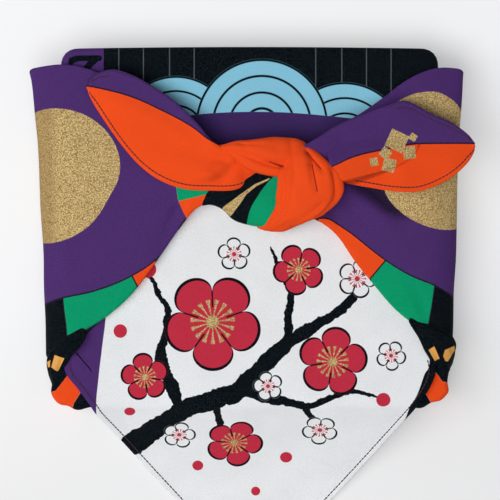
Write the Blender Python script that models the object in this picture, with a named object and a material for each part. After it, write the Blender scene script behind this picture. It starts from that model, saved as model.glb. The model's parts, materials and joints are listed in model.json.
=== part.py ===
"""Furoshiki wrap: one square of cotton folded round a flat rectangular space and tied on top.

Axes: X to the right, Y away from the near edge, Z up. The origin is the middle of the underside,
on the surface that the wrap rests on. All tables are in millimetres.
"""

import math

import bmesh
import bpy
import numpy as np

MM = 0.001

# The cloth as built: one ply, and the height of the middle of each ply over the wrapped space
PLY = 1.6
UNDERSIDE_TOP = 1.5
NEAR_PLY = 34.0
FLAP_PLY = 36.6
FOLD_RADIUS = 1.6

# The wrapped space in plan, to the middle of the cloth on the walls
HALF_WIDTH = 121.0
HALF_DEPTH = 115.4
CORNER_RADIUS = 12.0
FAR_HALF_WIDTH = 122.3
FAR_CORNER_RADIUS = 10.0
FAR_BOW = 1.0
EDGE_RADIUS = 3.0
STRIP = 38.0
SWELL_SHARE = 0.55
NEAR_STRIP_END = (-58.0, 117.0, -117.0, NEAR_PLY)
NEAR_PLY_EDGES = (-116.0, 109.0, 116.0, -61.0)
PLATE_INSET = 0.06

# Points along the straight part of the near and the far edge, and angles of the turn at a wall's top
NEAR_EDGE_PLACES = (54.0, 27.0, 0.0, -27.0, -54.0)
FAR_EDGE_PLACES = (-85.0, -55.0, -27.0)
EDGE_ANGLES = (0.0, 30.0, 60.0, 90.0)

# How finely the solid follows the folds
WRAP_ROWS = 19
WRAP_COLUMNS = 10
TURN_STEPS = 4
CORNER_COLUMNS = 19
CORNER_STEPS = 5
STRAND_SIDES = 14

# A wall from under the wrap to its top edge: how far in from the outline, and how high
WALL_PROFILE = (
    # inset, height
    (9.0, 0.9),
    (3.4, 0.9),
    (1.0, 1.7),
    (0.0, 4.0),
    (0.0, 12.0),
    (0.0, 22.0),
)

# The top of the flap from the far strip to its point: place along Y, left and right edge, height
FLAP_ROWS = (
    # y, left, right, height
    (62.0, -119.0, 119.0, 36.6),
    (40.0, -119.0, 119.0, 36.6),
    (0.0, -119.0, 119.0, 36.6),
    (-40.0, -119.0, 119.0, 36.6),
    (-80.0, -119.5, 119.5, 36.6),
    (-94.0, -120.0, 121.0, 36.6),
    (-105.0, -112.0, 117.0, 36.6),
    (-113.0, -106.0, 111.6, 36.5),
    (-117.2, -103.0, 108.6, 35.2),
    (-121.5, -100.3, 105.2, 31.6),
    (-128.0, -94.7, 99.7, 26.0),
    (-137.0, -86.8, 91.9, 19.0),
    (-148.0, -77.0, 82.3, 12.0),
    (-162.0, -64.5, 69.8, 5.6),
    (-178.0, -49.8, 55.3, 2.0),
    (-194.0, -34.9, 40.5, 0.95),
    (-210.0, -19.9, 25.7, 0.8),
    (-231.0, -0.3, 6.3, 0.8),
)

# Outline of the near corners seen from above, left one and right one, from the side wall round to the front
NEAR_CORNERS = {
    -1: (
        # x, y
        (-121.0, -56.0),
        (-126.0, -72.0),
        (-129.4, -90.0),
        (-129.0, -103.0),
        (-126.8, -111.8),
        (-120.3, -116.9),
        (-111.8, -118.2),
        (-101.0, -117.2),
        (-89.0, -115.7),
        (-78.0, -115.4),
    ),
    1: (
        (121.0, -56.0),
        (126.0, -72.0),
        (129.0, -90.0),
        (129.4, -103.0),
        (127.2, -109.8),
        (120.6, -114.6),
        (111.2, -117.0),
        (101.5, -116.9),
        (90.0, -115.7),
        (78.0, -115.4),
    ),
}
PLEATS = 4.0
PLEAT_DEPTH = 1.0

# A side wrap from the knot outwards over the top, out to its widest and down the wall
SIDE_WRAPS = {
    "wrap_left": (
        # far x, y, z, middle x, z, near x, y, z
        (-12.0, 48.0, 49.0, -16.0, 50.5, -19.0, 18.0, 48.0),
        (-24.4, 49.5, 47.5, -30.0, 49.5, -33.8, 13.4, 45.5),
        (-35.4, 58.8, 45.0, -41.0, 47.3, -44.6, 1.0, 43.6),
        (-51.7, 70.5, 43.2, -55.0, 45.6, -58.2, -17.9, 42.6),
        (-71.2, 84.2, 42.4, -73.5, 44.6, -75.7, -41.3, 42.2),
        (-90.7, 95.2, 42.0, -92.5, 43.8, -93.9, -57.5, 42.0),
        (-106.9, 101.7, 41.8, -108.6, 43.0, -110.2, -67.3, 42.0),
        (-121.9, 104.0, 40.6, -122.0, 40.8, -121.0, -74.5, 40.6),
        (-138.4, 102.0, 38.0, -134.2, 35.0, -130.6, -80.0, 35.0),
        (-143.0, 100.2, 34.0, -136.6, 27.0, -132.6, -83.5, 27.0),
        (-139.5, 99.6, 25.5, -134.0, 18.5, -130.4, -85.0, 18.5),
        (-130.0, 98.5, 12.5, -127.0, 8.5, -125.5, -85.0, 8.5),
        (-121.0, 97.0, 1.0, -121.0, 1.0, -121.0, -84.0, 1.0),
    ),
    "wrap_right": (
        (20.0, 48.0, 49.5, 24.0, 50.5, 26.0, 12.0, 48.0),
        (38.0, 52.5, 47.5, 43.0, 48.5, 45.5, 4.6, 45.5),
        (55.6, 64.0, 45.0, 57.0, 46.6, 57.5, -4.8, 43.6),
        (69.9, 70.8, 43.2, 69.8, 45.2, 68.4, -20.6, 42.6),
        (86.0, 81.8, 42.4, 83.8, 44.4, 80.0, -35.0, 42.2),
        (99.0, 91.8, 42.0, 97.5, 43.6, 94.6, -51.8, 42.0),
        (112.0, 98.8, 41.8, 111.0, 42.8, 109.0, -63.4, 42.0),
        (123.5, 101.8, 40.6, 122.5, 40.8, 121.0, -72.5, 40.6),
        (135.0, 101.4, 38.0, 133.4, 35.0, 130.0, -77.5, 35.0),
        (138.6, 100.0, 34.5, 135.6, 27.0, 132.2, -80.5, 27.0),
        (136.4, 99.4, 25.5, 134.4, 18.5, 131.6, -83.0, 18.5),
        (128.5, 98.5, 12.5, 127.0, 8.5, 126.0, -84.0, 8.5),
        (121.0, 97.0, 1.0, 121.0, 1.0, 121.0, -84.0, 1.0),
    ),
}
TURN_BACK = 13.0
BACK_SHARES = (0.5, 1.0)

# Soft troughs pressed into the side wraps beside the knot
TROUGHS = (
    # start x, y, end x, y, half width, depth
    (70.0, 27.0, 98.0, 7.0, 8.0, 2.0),
    (-46.0, 13.0, -58.0, -14.0, 7.0, 1.4),
    (-40.0, 40.0, -74.0, 52.0, 9.0, 0.8),
)

# Gathered and doubled cloth on top: one edge, the other edge, height of the middle, thickness
STRANDS = {
    "under_strand": (
        # first x, y, second x, y, z, thickness
        (-25.0, 26.5, -31.0, 13.5, 45.5, 3.5),
        (-22.0, 27.5, -25.5, 14.0, 47.0, 7.0),
        (-13.5, 29.5, -17.5, 11.4, 47.5, 9.0),
        (-5.0, 32.5, -10.0, 5.0, 47.8, 11.0),
        (8.1, 37.5, 0.5, 1.2, 48.0, 12.0),
        (26.0, 38.5, 16.0, 0.6, 48.5, 12.0),
        (45.0, 37.0, 42.0, 10.0, 47.5, 9.0),
    ),
    "over_strand": (
        (-24.0, 51.6, -24.0, 50.4, 52.5, 3.0),
        (-17.0, 52.2, -16.5, 49.8, 54.5, 6.5),
        (-8.0, 54.8, -8.0, 47.0, 57.0, 11.0),
        (2.5, 56.0, 3.0, 42.5, 58.0, 13.5),
        (16.6, 56.8, 17.0, 38.0, 58.0, 15.0),
        (29.5, 55.8, 27.6, 38.0, 56.5, 13.0),
        (36.5, 53.6, 36.0, 42.0, 53.0, 9.0),
    ),
    "over_roll": (
        (-23.5, 52.4, -24.5, 50.6, 52.5, 2.6),
        (-16.5, 51.4, -18.5, 48.4, 54.8, 4.6),
        (-8.0, 48.6, -11.0, 44.9, 56.8, 6.6),
        (-0.5, 45.2, -4.0, 39.8, 57.6, 8.0),
        (8.0, 41.4, 5.0, 35.0, 57.6, 9.0),
        (20.0, 38.4, 18.5, 32.4, 57.0, 8.6),
        (30.0, 38.0, 29.0, 34.0, 56.0, 7.0),
    ),
    "front_strand": (
        (24.0, 52.0, 36.8, 52.4, 56.0, 5.0),
        (22.4, 42.0, 46.8, 45.0, 60.0, 11.0),
        (19.0, 33.0, 58.6, 32.6, 61.0, 15.0),
        (17.9, 22.0, 59.4, 20.4, 59.0, 16.0),
        (17.2, 13.0, 48.0, 9.0, 55.0, 13.0),
        (10.6, 3.6, 33.0, 2.6, 50.0, 9.0),
        (4.0, -1.0, 20.5, -3.4, 45.8, 5.0),
    ),
    "roll_left": (
        (-108.0, -65.6, -106.0, -69.6, 41.6, 3.0),
        (-113.0, -68.6, -109.0, -75.6, 41.8, 5.0),
        (-119.0, -72.0, -113.2, -81.6, 41.2, 6.5),
        (-125.5, -76.5, -117.2, -86.6, 38.5, 7.0),
        (-130.4, -83.5, -120.0, -92.5, 34.0, 7.5),
        (-130.6, -92.0, -120.6, -99.5, 26.0, 7.0),
        (-129.4, -100.0, -122.0, -105.0, 16.0, 6.0),
        (-127.5, -106.0, -124.0, -109.0, 8.0, 5.0),
    ),
    "roll_right": (
        (104.0, -59.6, 103.6, -61.6, 41.8, 2.5),
        (110.0, -62.6, 107.4, -68.6, 41.9, 4.5),
        (119.5, -65.4, 112.4, -77.6, 41.6, 6.0),
        (128.8, -69.4, 116.8, -85.2, 38.0, 7.0),
        (133.2, -76.0, 119.4, -92.5, 32.0, 7.5),
        (131.6, -85.0, 121.5, -99.0, 22.0, 7.0),
        (128.6, -93.0, 122.5, -103.0, 10.0, 5.0),
    ),
    "left_end": (
        (-105.0, 91.4, -105.2, 90.2, 48.0, 1.6),
        (-99.0, 98.0, -102.2, 82.2, 48.6, 3.2),
        (-88.0, 101.0, -96.8, 73.0, 49.2, 4.0),
        (-75.0, 97.0, -84.2, 54.7, 50.0, 4.6),
        (-61.0, 89.0, -71.4, 39.8, 51.0, 5.2),
        (-48.0, 80.0, -58.2, 30.0, 52.0, 5.8),
        (-35.0, 67.5, -43.0, 24.4, 53.0, 7.0),
        (-23.0, 54.0, -26.0, 23.2, 54.0, 8.0),
        (-9.0, 48.0, -8.0, 24.0, 54.0, 5.0),
        (6.0, 40.0, 4.9, 32.4, 49.5, 5.0),
    ),
    "right_end": (
        (145.4, 53.6, 145.6, 52.4, 50.5, 1.6),
        (140.6, 59.4, 144.2, 46.4, 51.0, 2.8),
        (130.5, 66.6, 138.2, 38.2, 52.0, 3.4),
        (116.0, 73.0, 127.0, 29.6, 53.0, 4.2),
        (101.0, 80.6, 110.5, 22.8, 54.0, 5.0),
        (89.0, 77.6, 94.0, 22.6, 55.0, 5.6),
        (75.0, 72.4, 78.0, 25.0, 55.5, 6.0),
        (59.5, 66.0, 62.0, 28.0, 56.0, 7.0),
        (46.0, 58.0, 50.0, 32.0, 56.5, 8.0),
        (30.0, 48.6, 36.0, 34.0, 57.5, 8.0),
    ),
}
STRAND_STEPS = 13

# Section of a strand: the powers that turn its ellipse into a flatter, fuller shape
ACROSS_POWER = 0.8
RISE_POWER = 0.9

# Colours of the printed cotton and of its knot
CLOTH_COLOUR = (0.14, 0.06, 0.22, 1.0)
CLOTH_ROUGHNESS = 0.85


def clear_scene():
    for obj in list(bpy.data.objects):
        bpy.data.objects.remove(obj, do_unlink=True)


def curve_through(rows, count):
    """A smooth curve through the rows, as count points spread evenly over the rows' numbers."""
    rows = np.asarray(rows, float)
    padded = np.vstack([2 * rows[0] - rows[1], rows, 2 * rows[-1] - rows[-2]])
    place = np.linspace(0, len(rows) - 1, count)
    start = np.minimum(place.astype(int), len(rows) - 2)
    part = (place - start)[:, None]
    before, first, second, after = (padded[start + step] for step in range(4))
    return 0.5 * (
        2 * first
        + (second - before) * part
        + (2 * before - 5 * first + 4 * second - after) * part**2
        + (3 * first - before - 3 * second + after) * part**3
    )


def unit(vectors):
    return vectors / np.linalg.norm(vectors, axis=-1, keepdims=True)


def run_share(path):
    """How far along the path each of its points lies, from 0 to 1."""
    run = np.concatenate([[0.0], np.cumsum(np.linalg.norm(np.diff(path, axis=0), axis=1))])
    return run / run[-1]


def helper_object(name, points, faces, folds):
    """A closed or open mesh that the cloth is joined from, itself left out of the part."""
    mesh = bpy.data.meshes.new(name)
    mesh.from_pydata((np.asarray(points) * MM).tolist(), [], faces)
    mesh.validate()
    obj = bpy.data.objects.new(name, mesh)
    obj.hide_render = True
    obj.display_type = "WIRE"
    folds.objects.link(obj)
    return obj


def sheet(name, grid, folds):
    """One ply of cloth whose middle runs through the grid of points."""
    rows, columns = grid.shape[:2]
    faces = []
    for row in range(rows - 1):
        for column in range(columns - 1):
            corner = row * columns + column
            faces.append((corner, corner + 1, corner + columns + 1, corner + columns))
    obj = helper_object(name, grid.reshape(-1, 3), faces, folds)
    ply = obj.modifiers.new("ply", "SOLIDIFY")
    ply.thickness = PLY * MM
    ply.offset = 0.0
    ply.use_even_offset = True


def turned_under(grid, facing, radius, reach):
    """The grid with its last column folded over to the back, where it runs reach further."""
    edge = grid[:, -1]
    outwards = unit(edge - grid[:, -2])
    up = facing * unit(np.cross(np.gradient(edge, axis=0), outwards))
    columns = [grid]
    for step in range(1, TURN_STEPS + 1):
        angle = math.pi * step / TURN_STEPS
        point = edge + radius * (math.sin(angle) * outwards - (1 - math.cos(angle)) * up)
        columns.append(point[:, None])
    back = edge - 2 * radius * up
    columns += [(back - share * reach * outwards)[:, None] for share in BACK_SHARES]
    return np.concatenate(columns, axis=1)


def onto_walls(path):
    """The points of the path moved onto the upright walls of the wrapped space, seen from above."""
    inner = np.array([HALF_WIDTH - CORNER_RADIUS, HALF_DEPTH - CORNER_RADIUS])
    middle = np.clip(path, -inner, inner)
    return middle + CORNER_RADIUS * unit(path - middle)


def wall_rows(outline, top):
    """Rows of points up a wall that swells to the outline and turns in at its top edge.

    The outline runs clockwise round the wrap, so the inner side is on its right.
    """
    base = onto_walls(outline)
    along = unit(np.gradient(base, axis=0))
    inwards = np.column_stack([along[:, 1], -along[:, 0]])
    profile = list(WALL_PROFILE)
    for angle in EDGE_ANGLES:
        turn = math.radians(angle)
        profile.append((EDGE_RADIUS * (1 - math.cos(turn)), top - EDGE_RADIUS * (1 - math.sin(turn))))
    rows = []
    for inset, height in profile:
        swell = min(1.0, height / (SWELL_SHARE * top))
        swell = swell * swell * (3 - 2 * swell)
        path = base + swell * (outline - base) + inset * inwards
        rows.append(np.column_stack([path, np.full(len(path), height)]))
    return rows


def straight_row(shares, y, left, right, height):
    across = left + shares * (right - left)
    return np.column_stack([across, np.full(len(shares), y), np.full(len(shares), height)])


def add_flap(folds):
    """Far wall and far corner of the cloth, over the top and down in front to its point."""
    left = [(-FAR_HALF_WIDTH, HALF_DEPTH - STRIP), (-FAR_HALF_WIDTH, HALF_DEPTH - FAR_CORNER_RADIUS)]
    for step in range(1, CORNER_STEPS + 1):
        turn = math.radians(90.0 * step / CORNER_STEPS)
        left.append(
            (
                -FAR_HALF_WIDTH + FAR_CORNER_RADIUS * (1 - math.cos(turn)),
                HALF_DEPTH - FAR_CORNER_RADIUS * (1 - math.sin(turn)),
            )
        )
    left += [(x, HALF_DEPTH) for x in FAR_EDGE_PLACES]
    right = [(-x, y) for x, y in reversed(left)]
    outline = np.array(left + [(0.0, HALF_DEPTH)] + right)
    bow = np.clip(1 - (outline[:, 0] / (FAR_HALF_WIDTH - FAR_CORNER_RADIUS)) ** 2, 0.0, 1.0)
    outline[:, 1] += FAR_BOW * bow * (outline[:, 1] > HALF_DEPTH - PLY)
    shares = run_share(outline)
    rows = wall_rows(outline, FLAP_PLY)
    strip_end = straight_row(shares, *FLAP_ROWS[0])
    rows.append(0.5 * rows[-1] + 0.5 * strip_end)
    rows += [straight_row(shares, *row) for row in FLAP_ROWS]
    sheet("flap", np.array(rows), folds)


def add_near_wall(folds):
    """Near wall with its bunched corners, and the start of the ply that lies under the flap."""
    wave = np.linspace(0.0, 1.0, CORNER_COLUMNS)
    pleats = PLEAT_DEPTH * np.sin(math.pi * wave) * np.sin(2 * math.pi * PLEATS * wave)
    corners = {}
    for side, table in NEAR_CORNERS.items():
        corner = curve_through(table, CORNER_COLUMNS)
        along = unit(np.gradient(corner, axis=0))
        corners[side] = corner + side * pleats[:, None] * np.column_stack([along[:, 1], -along[:, 0]])
    front = np.array([(x, -HALF_DEPTH) for x in NEAR_EDGE_PLACES])
    outline = np.vstack([corners[1], front, corners[-1][::-1]])
    rows = wall_rows(outline, NEAR_PLY)
    strip_end = straight_row(run_share(outline), *NEAR_STRIP_END)
    rows.append(0.5 * rows[-1] + 0.5 * strip_end)
    rows.append(strip_end)
    sheet("near_wall", np.array(rows), folds)


def add_plates(folds):
    """The flat underside, and the near corner's ply under the flap."""
    corner = []
    for step in range(CORNER_STEPS + 1):
        turn = math.radians(90.0 * step / CORNER_STEPS)
        corner.append((math.cos(turn), math.sin(turn)))
    inner = (HALF_WIDTH - CORNER_RADIUS, HALF_DEPTH - CORNER_RADIUS)
    outline = []
    for sign_x, sign_y in ((1, 1), (-1, 1), (-1, -1), (1, -1)):
        for x, y in corner if sign_x == sign_y else reversed(corner):
            outline.append(
                (sign_x * (inner[0] + CORNER_RADIUS * x), sign_y * (inner[1] + CORNER_RADIUS * y))
            )
    plate("underside", outline, 0.0, UNDERSIDE_TOP, folds)
    left, far, right, near = NEAR_PLY_EDGES
    under_flap = [(right, near), (right, far), (left, far), (left, near)]
    half = 0.5 * PLY - PLATE_INSET
    plate("near_ply", under_flap, NEAR_PLY - half, NEAR_PLY + half, folds)


def plate(name, outline, bottom, top, folds):
    """A flat closed plate whose outline runs anticlockwise."""
    count = len(outline)
    points = [(x, y, z) for z in (bottom, top) for x, y in outline]
    faces = [tuple(reversed(range(count))), tuple(range(count, 2 * count))]
    for place in range(count):
        after = (place + 1) % count
        faces.append((place, after, count + after, count + place))
    helper_object(name, points, faces, folds)


def pressed(points):
    """The points of a side wrap's top ply, lowered where a trough runs across it."""
    for x0, y0, x1, y1, half_width, depth in TROUGHS:
        start = np.array([x0, y0])
        way = np.array([x1, y1]) - start
        share = np.clip(((points[..., :2] - start) @ way) / (way @ way), 0.0, 1.0)
        away = np.linalg.norm(points[..., :2] - start - share[..., None] * way, axis=-1)
        points[..., 2] -= depth * np.exp(-((away / half_width) ** 2)) * (points[..., 2] > FLAP_PLY)
    return points


def add_side_wrap(name, table, facing, folds):
    """A side corner of the cloth, from the knot over the top and down its wall, both edges folded under."""
    far_x, far_y, far_z, middle_x, middle_z, near_x, near_y, near_z = curve_through(table, WRAP_ROWS).T
    columns = []
    for share in np.linspace(0.0, 1.0, WRAP_COLUMNS):
        far, middle, near = (1 - share) * (1 - 2 * share), 4 * share * (1 - share), share * (2 * share - 1)
        columns.append(
            np.column_stack(
                [
                    far * far_x + middle * middle_x + near * near_x,
                    (1 - share) * far_y + share * near_y,
                    far * far_z + middle * middle_z + near * near_z,
                ]
            )
        )
    grid = pressed(np.stack(columns, axis=1))
    grid = turned_under(grid, facing, FOLD_RADIUS, TURN_BACK)
    grid = turned_under(grid[:, ::-1], -facing, FOLD_RADIUS, TURN_BACK)
    sheet(name, grid, folds)


def add_strand(name, table, folds):
    """Gathered cloth between two edges, thick in the middle and thin at both."""
    rows = curve_through(table, STRAND_STEPS)
    first = rows[:, [0, 1, 4]]
    second = rows[:, [2, 3, 4]]
    middle = 0.5 * (first + second)
    half_across = 0.5 * (second - first)
    up = unit(np.cross(half_across, np.gradient(middle, axis=0)))
    up *= np.sign(up[:, 2].sum())
    points = []
    for place in range(STRAND_STEPS):
        for side in range(STRAND_SIDES):
            turn = 2 * math.pi * side / STRAND_SIDES
            across = math.copysign(abs(math.cos(turn)) ** ACROSS_POWER, math.cos(turn))
            rise = math.copysign(abs(math.sin(turn)) ** RISE_POWER, math.sin(turn))
            points.append(
                middle[place] + across * half_across[place] + 0.5 * rise * rows[place, 5] * up[place]
            )
    faces = [tuple(reversed(range(STRAND_SIDES)))]
    for place in range(STRAND_STEPS - 1):
        for side in range(STRAND_SIDES):
            after = (side + 1) % STRAND_SIDES
            low, high = place * STRAND_SIDES, (place + 1) * STRAND_SIDES
            faces.append((low + side, low + after, high + after, high + side))
    faces.append(tuple(range((STRAND_STEPS - 1) * STRAND_SIDES, STRAND_STEPS * STRAND_SIDES)))
    obj = helper_object(name, points, faces, folds)
    mesh = bmesh.new()
    mesh.from_mesh(obj.data)
    bmesh.ops.recalc_face_normals(mesh, faces=mesh.faces)
    mesh.to_mesh(obj.data)
    mesh.free()


def cloth_material():
    material = bpy.data.materials.new("printed_cotton")
    material.use_nodes = True
    shader = material.node_tree.nodes["Principled BSDF"]
    shader.inputs["Base Color"].default_value = CLOTH_COLOUR
    shader.inputs["Roughness"].default_value = CLOTH_ROUGHNESS
    shader.inputs["Metallic"].default_value = 0.0
    return material


def add_cloth(folds):
    """The whole cloth as one solid, joined from its folds."""
    whole = folds.objects["underside"]
    folds.objects.unlink(whole)
    whole.name = "cloth"
    whole.hide_render = False
    whole.display_type = "TEXTURED"
    bpy.context.scene.collection.objects.link(whole)
    joined = whole.modifiers.new("folds", "BOOLEAN")
    joined.operation = "UNION"
    joined.operand_type = "COLLECTION"
    joined.collection = folds
    joined.solver = "EXACT"
    whole.data.materials.append(cloth_material())


def main():
    clear_scene()
    folds = bpy.data.collections.new("folds")
    bpy.context.scene.collection.children.link(folds)
    add_plates(folds)
    add_near_wall(folds)
    add_flap(folds)
    add_side_wrap("wrap_left", SIDE_WRAPS["wrap_left"], 1, folds)
    add_side_wrap("wrap_right", SIDE_WRAPS["wrap_right"], -1, folds)
    for name, table in STRANDS.items():
        add_strand(name, table, folds)
    add_cloth(folds)


main()
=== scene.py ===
"""Furoshiki wrap: a printed cotton square folded round a flat rectangular space and tied on top.

X runs to the right, Y away from the pointed flap, Z up, as in the frame. Tables are in millimetres.
"""

import json
import math

import bmesh
import bpy
import mathutils
import numpy as np
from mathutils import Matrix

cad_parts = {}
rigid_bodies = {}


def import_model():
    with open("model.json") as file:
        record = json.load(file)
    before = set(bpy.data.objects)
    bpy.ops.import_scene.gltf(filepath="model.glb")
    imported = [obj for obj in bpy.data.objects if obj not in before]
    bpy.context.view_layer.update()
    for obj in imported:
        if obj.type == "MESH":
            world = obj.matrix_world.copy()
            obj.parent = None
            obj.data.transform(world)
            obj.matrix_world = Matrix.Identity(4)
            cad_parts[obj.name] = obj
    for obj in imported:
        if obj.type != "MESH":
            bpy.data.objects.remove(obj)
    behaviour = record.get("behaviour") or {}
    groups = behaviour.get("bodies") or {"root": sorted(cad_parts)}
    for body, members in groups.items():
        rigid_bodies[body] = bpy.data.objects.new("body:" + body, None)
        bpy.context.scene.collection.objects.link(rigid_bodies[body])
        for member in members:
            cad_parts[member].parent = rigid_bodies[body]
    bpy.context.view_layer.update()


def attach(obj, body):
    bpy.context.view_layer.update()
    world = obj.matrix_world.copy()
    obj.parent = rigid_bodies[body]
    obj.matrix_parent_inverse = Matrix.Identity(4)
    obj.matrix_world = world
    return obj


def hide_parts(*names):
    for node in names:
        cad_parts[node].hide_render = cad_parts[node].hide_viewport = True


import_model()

bl_info = {
    "name": "Furoshiki Wrap",
    "version": (1, 0, 0),
    "blender": (4, 5, 0),
    "location": "View3D > Sidebar > Furoshiki",
    "description": "Builds a tied cotton wrapping cloth with its folds, hems, knot and print",
    "category": "Add Mesh",
}

MM = 0.001
CLOTH_NODE = "cloth"
CLOTH_PIECE = "wrapping_cloth"
PART_OF_CLOTH = "part_of_cloth"
UV_NAME = "cloth"

# The middle of the picture seen from above, and the level that the camera's frame is measured at
VIEW_CENTRE = (0.0003, -0.0153)
TOP_LEVEL = 37.0

# Heights of the middle of each ply over the wrapped space
UNDERSIDE_PLY = 0.4
NEAR_PLY = 34.0
FLAP_PLY = 36.6

# The wrapped space in plan, to the middle of the cloth on its walls
HALF_WIDTH = 121.0
HALF_DEPTH = 115.4
CORNER_RADIUS = 12.0
FAR_HALF_WIDTH = 122.3
FAR_CORNER_RADIUS = 10.0
FAR_BOW = 1.0
EDGE_RADIUS = 3.0
STRIP = 38.0
SWELL_SHARE = 0.55
HEM_WIDTH = 3.0

# How finely the plies follow the folds
FLAP_COLUMNS = 97
FLAP_ROW_COUNT = 84
CORNER_COLUMNS = 46
FRONT_COLUMNS = 16
WRAP_ROWS = 58
WRAP_COLUMNS = 40
RETURN_COLUMNS = 14
END_ROWS = 60
END_COLUMNS = 38
END_RETURN_COLUMNS = 9

# How far from the tip each end's upper edge is the hem, as a share of its length
UPPER_HEMS = {"left_end": 0.20, "right_end": 0.50}

INWARD_STRANDS = ("over_strand", "over_roll", "under_strand", "roll_right")
STRAND_PRINTS = {
    "under_strand": "under_strand_print",
    "over_strand": "knot_print",
    "over_roll": "knot_print",
    "front_strand": "knot_print",
    "roll_left": "corner_print",
    "roll_right": "corner_print",
}

WALL_PROFILE = (
    # inset, height
    (9, 1.3), (3.4, 1.3), (1, 2), (0, 4.2), (0, 10), (0, 16), (0, 22), (0, 28),
)

FLAP_ROWS = (
    # y, left, right, height
    (62, -119, 119, 36.6),
    (40, -119, 119, 36.6),
    (0, -119, 119, 36.6),
    (-40, -119, 119, 36.6),
    (-80, -119.5, 119.5, 36.6),
    (-94, -120, 121, 36.6),
    (-105, -112, 117, 36.6),
    (-113, -106, 111.6, 36.5),
    (-117.2, -103, 108.6, 35.2),
    (-121.5, -100.3, 105.2, 31.6),
    (-128, -94.7, 99.7, 26),
    (-137, -86.8, 91.9, 19),
    (-148, -77, 82.3, 12),
    (-162, -64.5, 69.8, 5.6),
    (-178, -49.8, 55.3, 2),
    (-194, -34.9, 40.5, 0.95),
    (-210, -19.9, 25.7, 0.6),
    (-232.5, 1.1, 4.9, 0.5),
)

NEAR_CORNERS = {
    -1: (
        # x, y
        (-121, -56), (-126, -72), (-129.4, -90), (-129, -103), (-126.8, -111.8), (-120.3, -116.9),
        (-111.8, -118.2), (-101, -117.2), (-89, -115.7), (-78, -115.4),
    ),
    1: (
        (121, -56), (126, -72), (129, -90), (129.4, -103), (127.2, -109.8), (120.6, -114.6),
        (111.2, -117), (101.5, -116.9), (90, -115.7), (78, -115.4),
    ),
}
PLEATS = 4.0
PLEAT_DEPTH = 0.8

SIDE_WRAPS = {
    "wrap_left": (
        # far x, y, z, middle x, z, near x, y, z
        (-12, 48, 49, -16, 50.5, -19, 18, 48),
        (-24.4, 49.5, 47.5, -30, 49.5, -33.8, 13.4, 45.5),
        (-35.4, 58.8, 45, -41, 47.3, -44.6, 1, 43.6),
        (-51.7, 70.5, 43.2, -55, 45.6, -58.2, -17.9, 42.6),
        (-71.2, 84.2, 42.4, -73.5, 44.6, -75.7, -41.3, 42.2),
        (-90.7, 95.2, 42, -92.5, 43.8, -93.9, -57.5, 42),
        (-106.9, 101.7, 41.8, -108.6, 43, -110.2, -67.3, 42),
        (-121.9, 104, 40.6, -122, 40.8, -121, -74.5, 40.6),
        (-138.4, 102, 38, -134.2, 35, -130.6, -80, 35),
        (-143, 100.2, 34, -136.6, 27, -132.6, -83.5, 27),
        (-139.5, 99.6, 25.5, -134, 18.5, -130.4, -85, 18.5),
        (-130, 98.5, 12.5, -127, 8.5, -125.5, -85, 8.5),
        (-121, 97, 1.6, -121, 1.6, -121, -84, 1.6),
    ),
    "wrap_right": (
        (20, 48, 49.5, 24, 50.5, 26, 12, 48),
        (38, 52.5, 47.5, 43, 48.5, 45.5, 4.6, 45.5),
        (55.6, 64, 45, 57, 46.6, 57.5, -4.8, 43.6),
        (69.9, 70.8, 43.2, 69.8, 45.2, 68.4, -20.6, 42.6),
        (86, 81.8, 42.4, 83.8, 44.4, 80, -35, 42.2),
        (99, 91.8, 42, 97.5, 43.6, 94.6, -51.8, 42),
        (112, 98.8, 41.8, 111, 42.8, 109, -63.4, 42),
        (123.5, 101.8, 40.6, 122.5, 40.8, 121, -72.5, 40.6),
        (135, 101.4, 38, 133.4, 35, 130, -77.5, 35),
        (138.6, 100, 34.5, 135.6, 27, 132.2, -80.5, 27),
        (136.4, 99.4, 25.5, 134.4, 18.5, 131.6, -83, 18.5),
        (128.5, 98.5, 12.5, 127, 8.5, 126, -84, 8.5),
        (121, 97, 1.6, 121, 1.6, 121, -84, 1.6),
    ),
}

TURN_STEPS = 8

# Side wraps: how far each folded-under ply lies below the top one, and how far it reaches across
NEAR_FOLD_RADIUS = 1.5
FAR_FOLD_RADIUS = 0.8
INNER_FOLD_RADIUS = 0.5
FULL_REACH = 0.96
SHORT_REACH = 0.07
REACH_ENDS = (100.0, 116.0)

# How soon the flare of the ears dies out along the side walls
FLARE = 0.7

WRAP_CREASES = (
    # start x, y, end x, y, half width at start, at end, depth at start, at end
    (71, 29, 99, 9, 4.5, 7, 4.2, 1.5),
    (62, 24, 90, 2, 4, 6, -3.4, -0.8),
    (50, 10.5, 64, 4.5, 3.2, 5, 3.2, 0.3),
    (52, -2, 78, -26, 4, 6, -0.7, -0.2),
    (60, 52, 106, 74, 5, 10, 0.8, 0.1),
    (-46, 13, -58, -14, 3.4, 6, 3, 0.5),
    (-50, 20, -88, 16, 5, 12, 1.2, 0.2),
    (-46, 30, -92, 34, 5, 12, -0.9, -0.1),
    (-40, 40, -74, 52, 6, 10, 0.9, 0.2),
    (-128, -30, -112, -52, 6, 4, 0.4, 0.9),
    (128, -28, 112, -50, 6, 4, 0.4, 0.9),
    (104, -32, 118, -66, 4, 3, 0.5, 1.2),
    (126, -48, 130, -70, 4, 3, 0.4, 1.6),
    (-104, -50, -126, -70, 4, 4, 0.3, 1.2),
)

FLAP_CREASES = (
    (-113, -80, -103, -93.5, 1.1, 1.1, 1, 0.7),
    (-116, -74, -108, -90, 2.6, 2.6, -0.6, -0.5),
    (111, -62, 117, -84, 1.8, 1.8, 0.8, 0.5),
    (-60, -112, -84, -134, 9, 14, 0.9, 0.5),
    (62, -110, 80, -136, 8, 12, 0.8, 0.4),
    (-12, -116, -18, -190, 16, 18, -0.9, -0.2),
    (30, -118, 34, -176, 12, 14, 0.8, 0.1),
)

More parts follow.
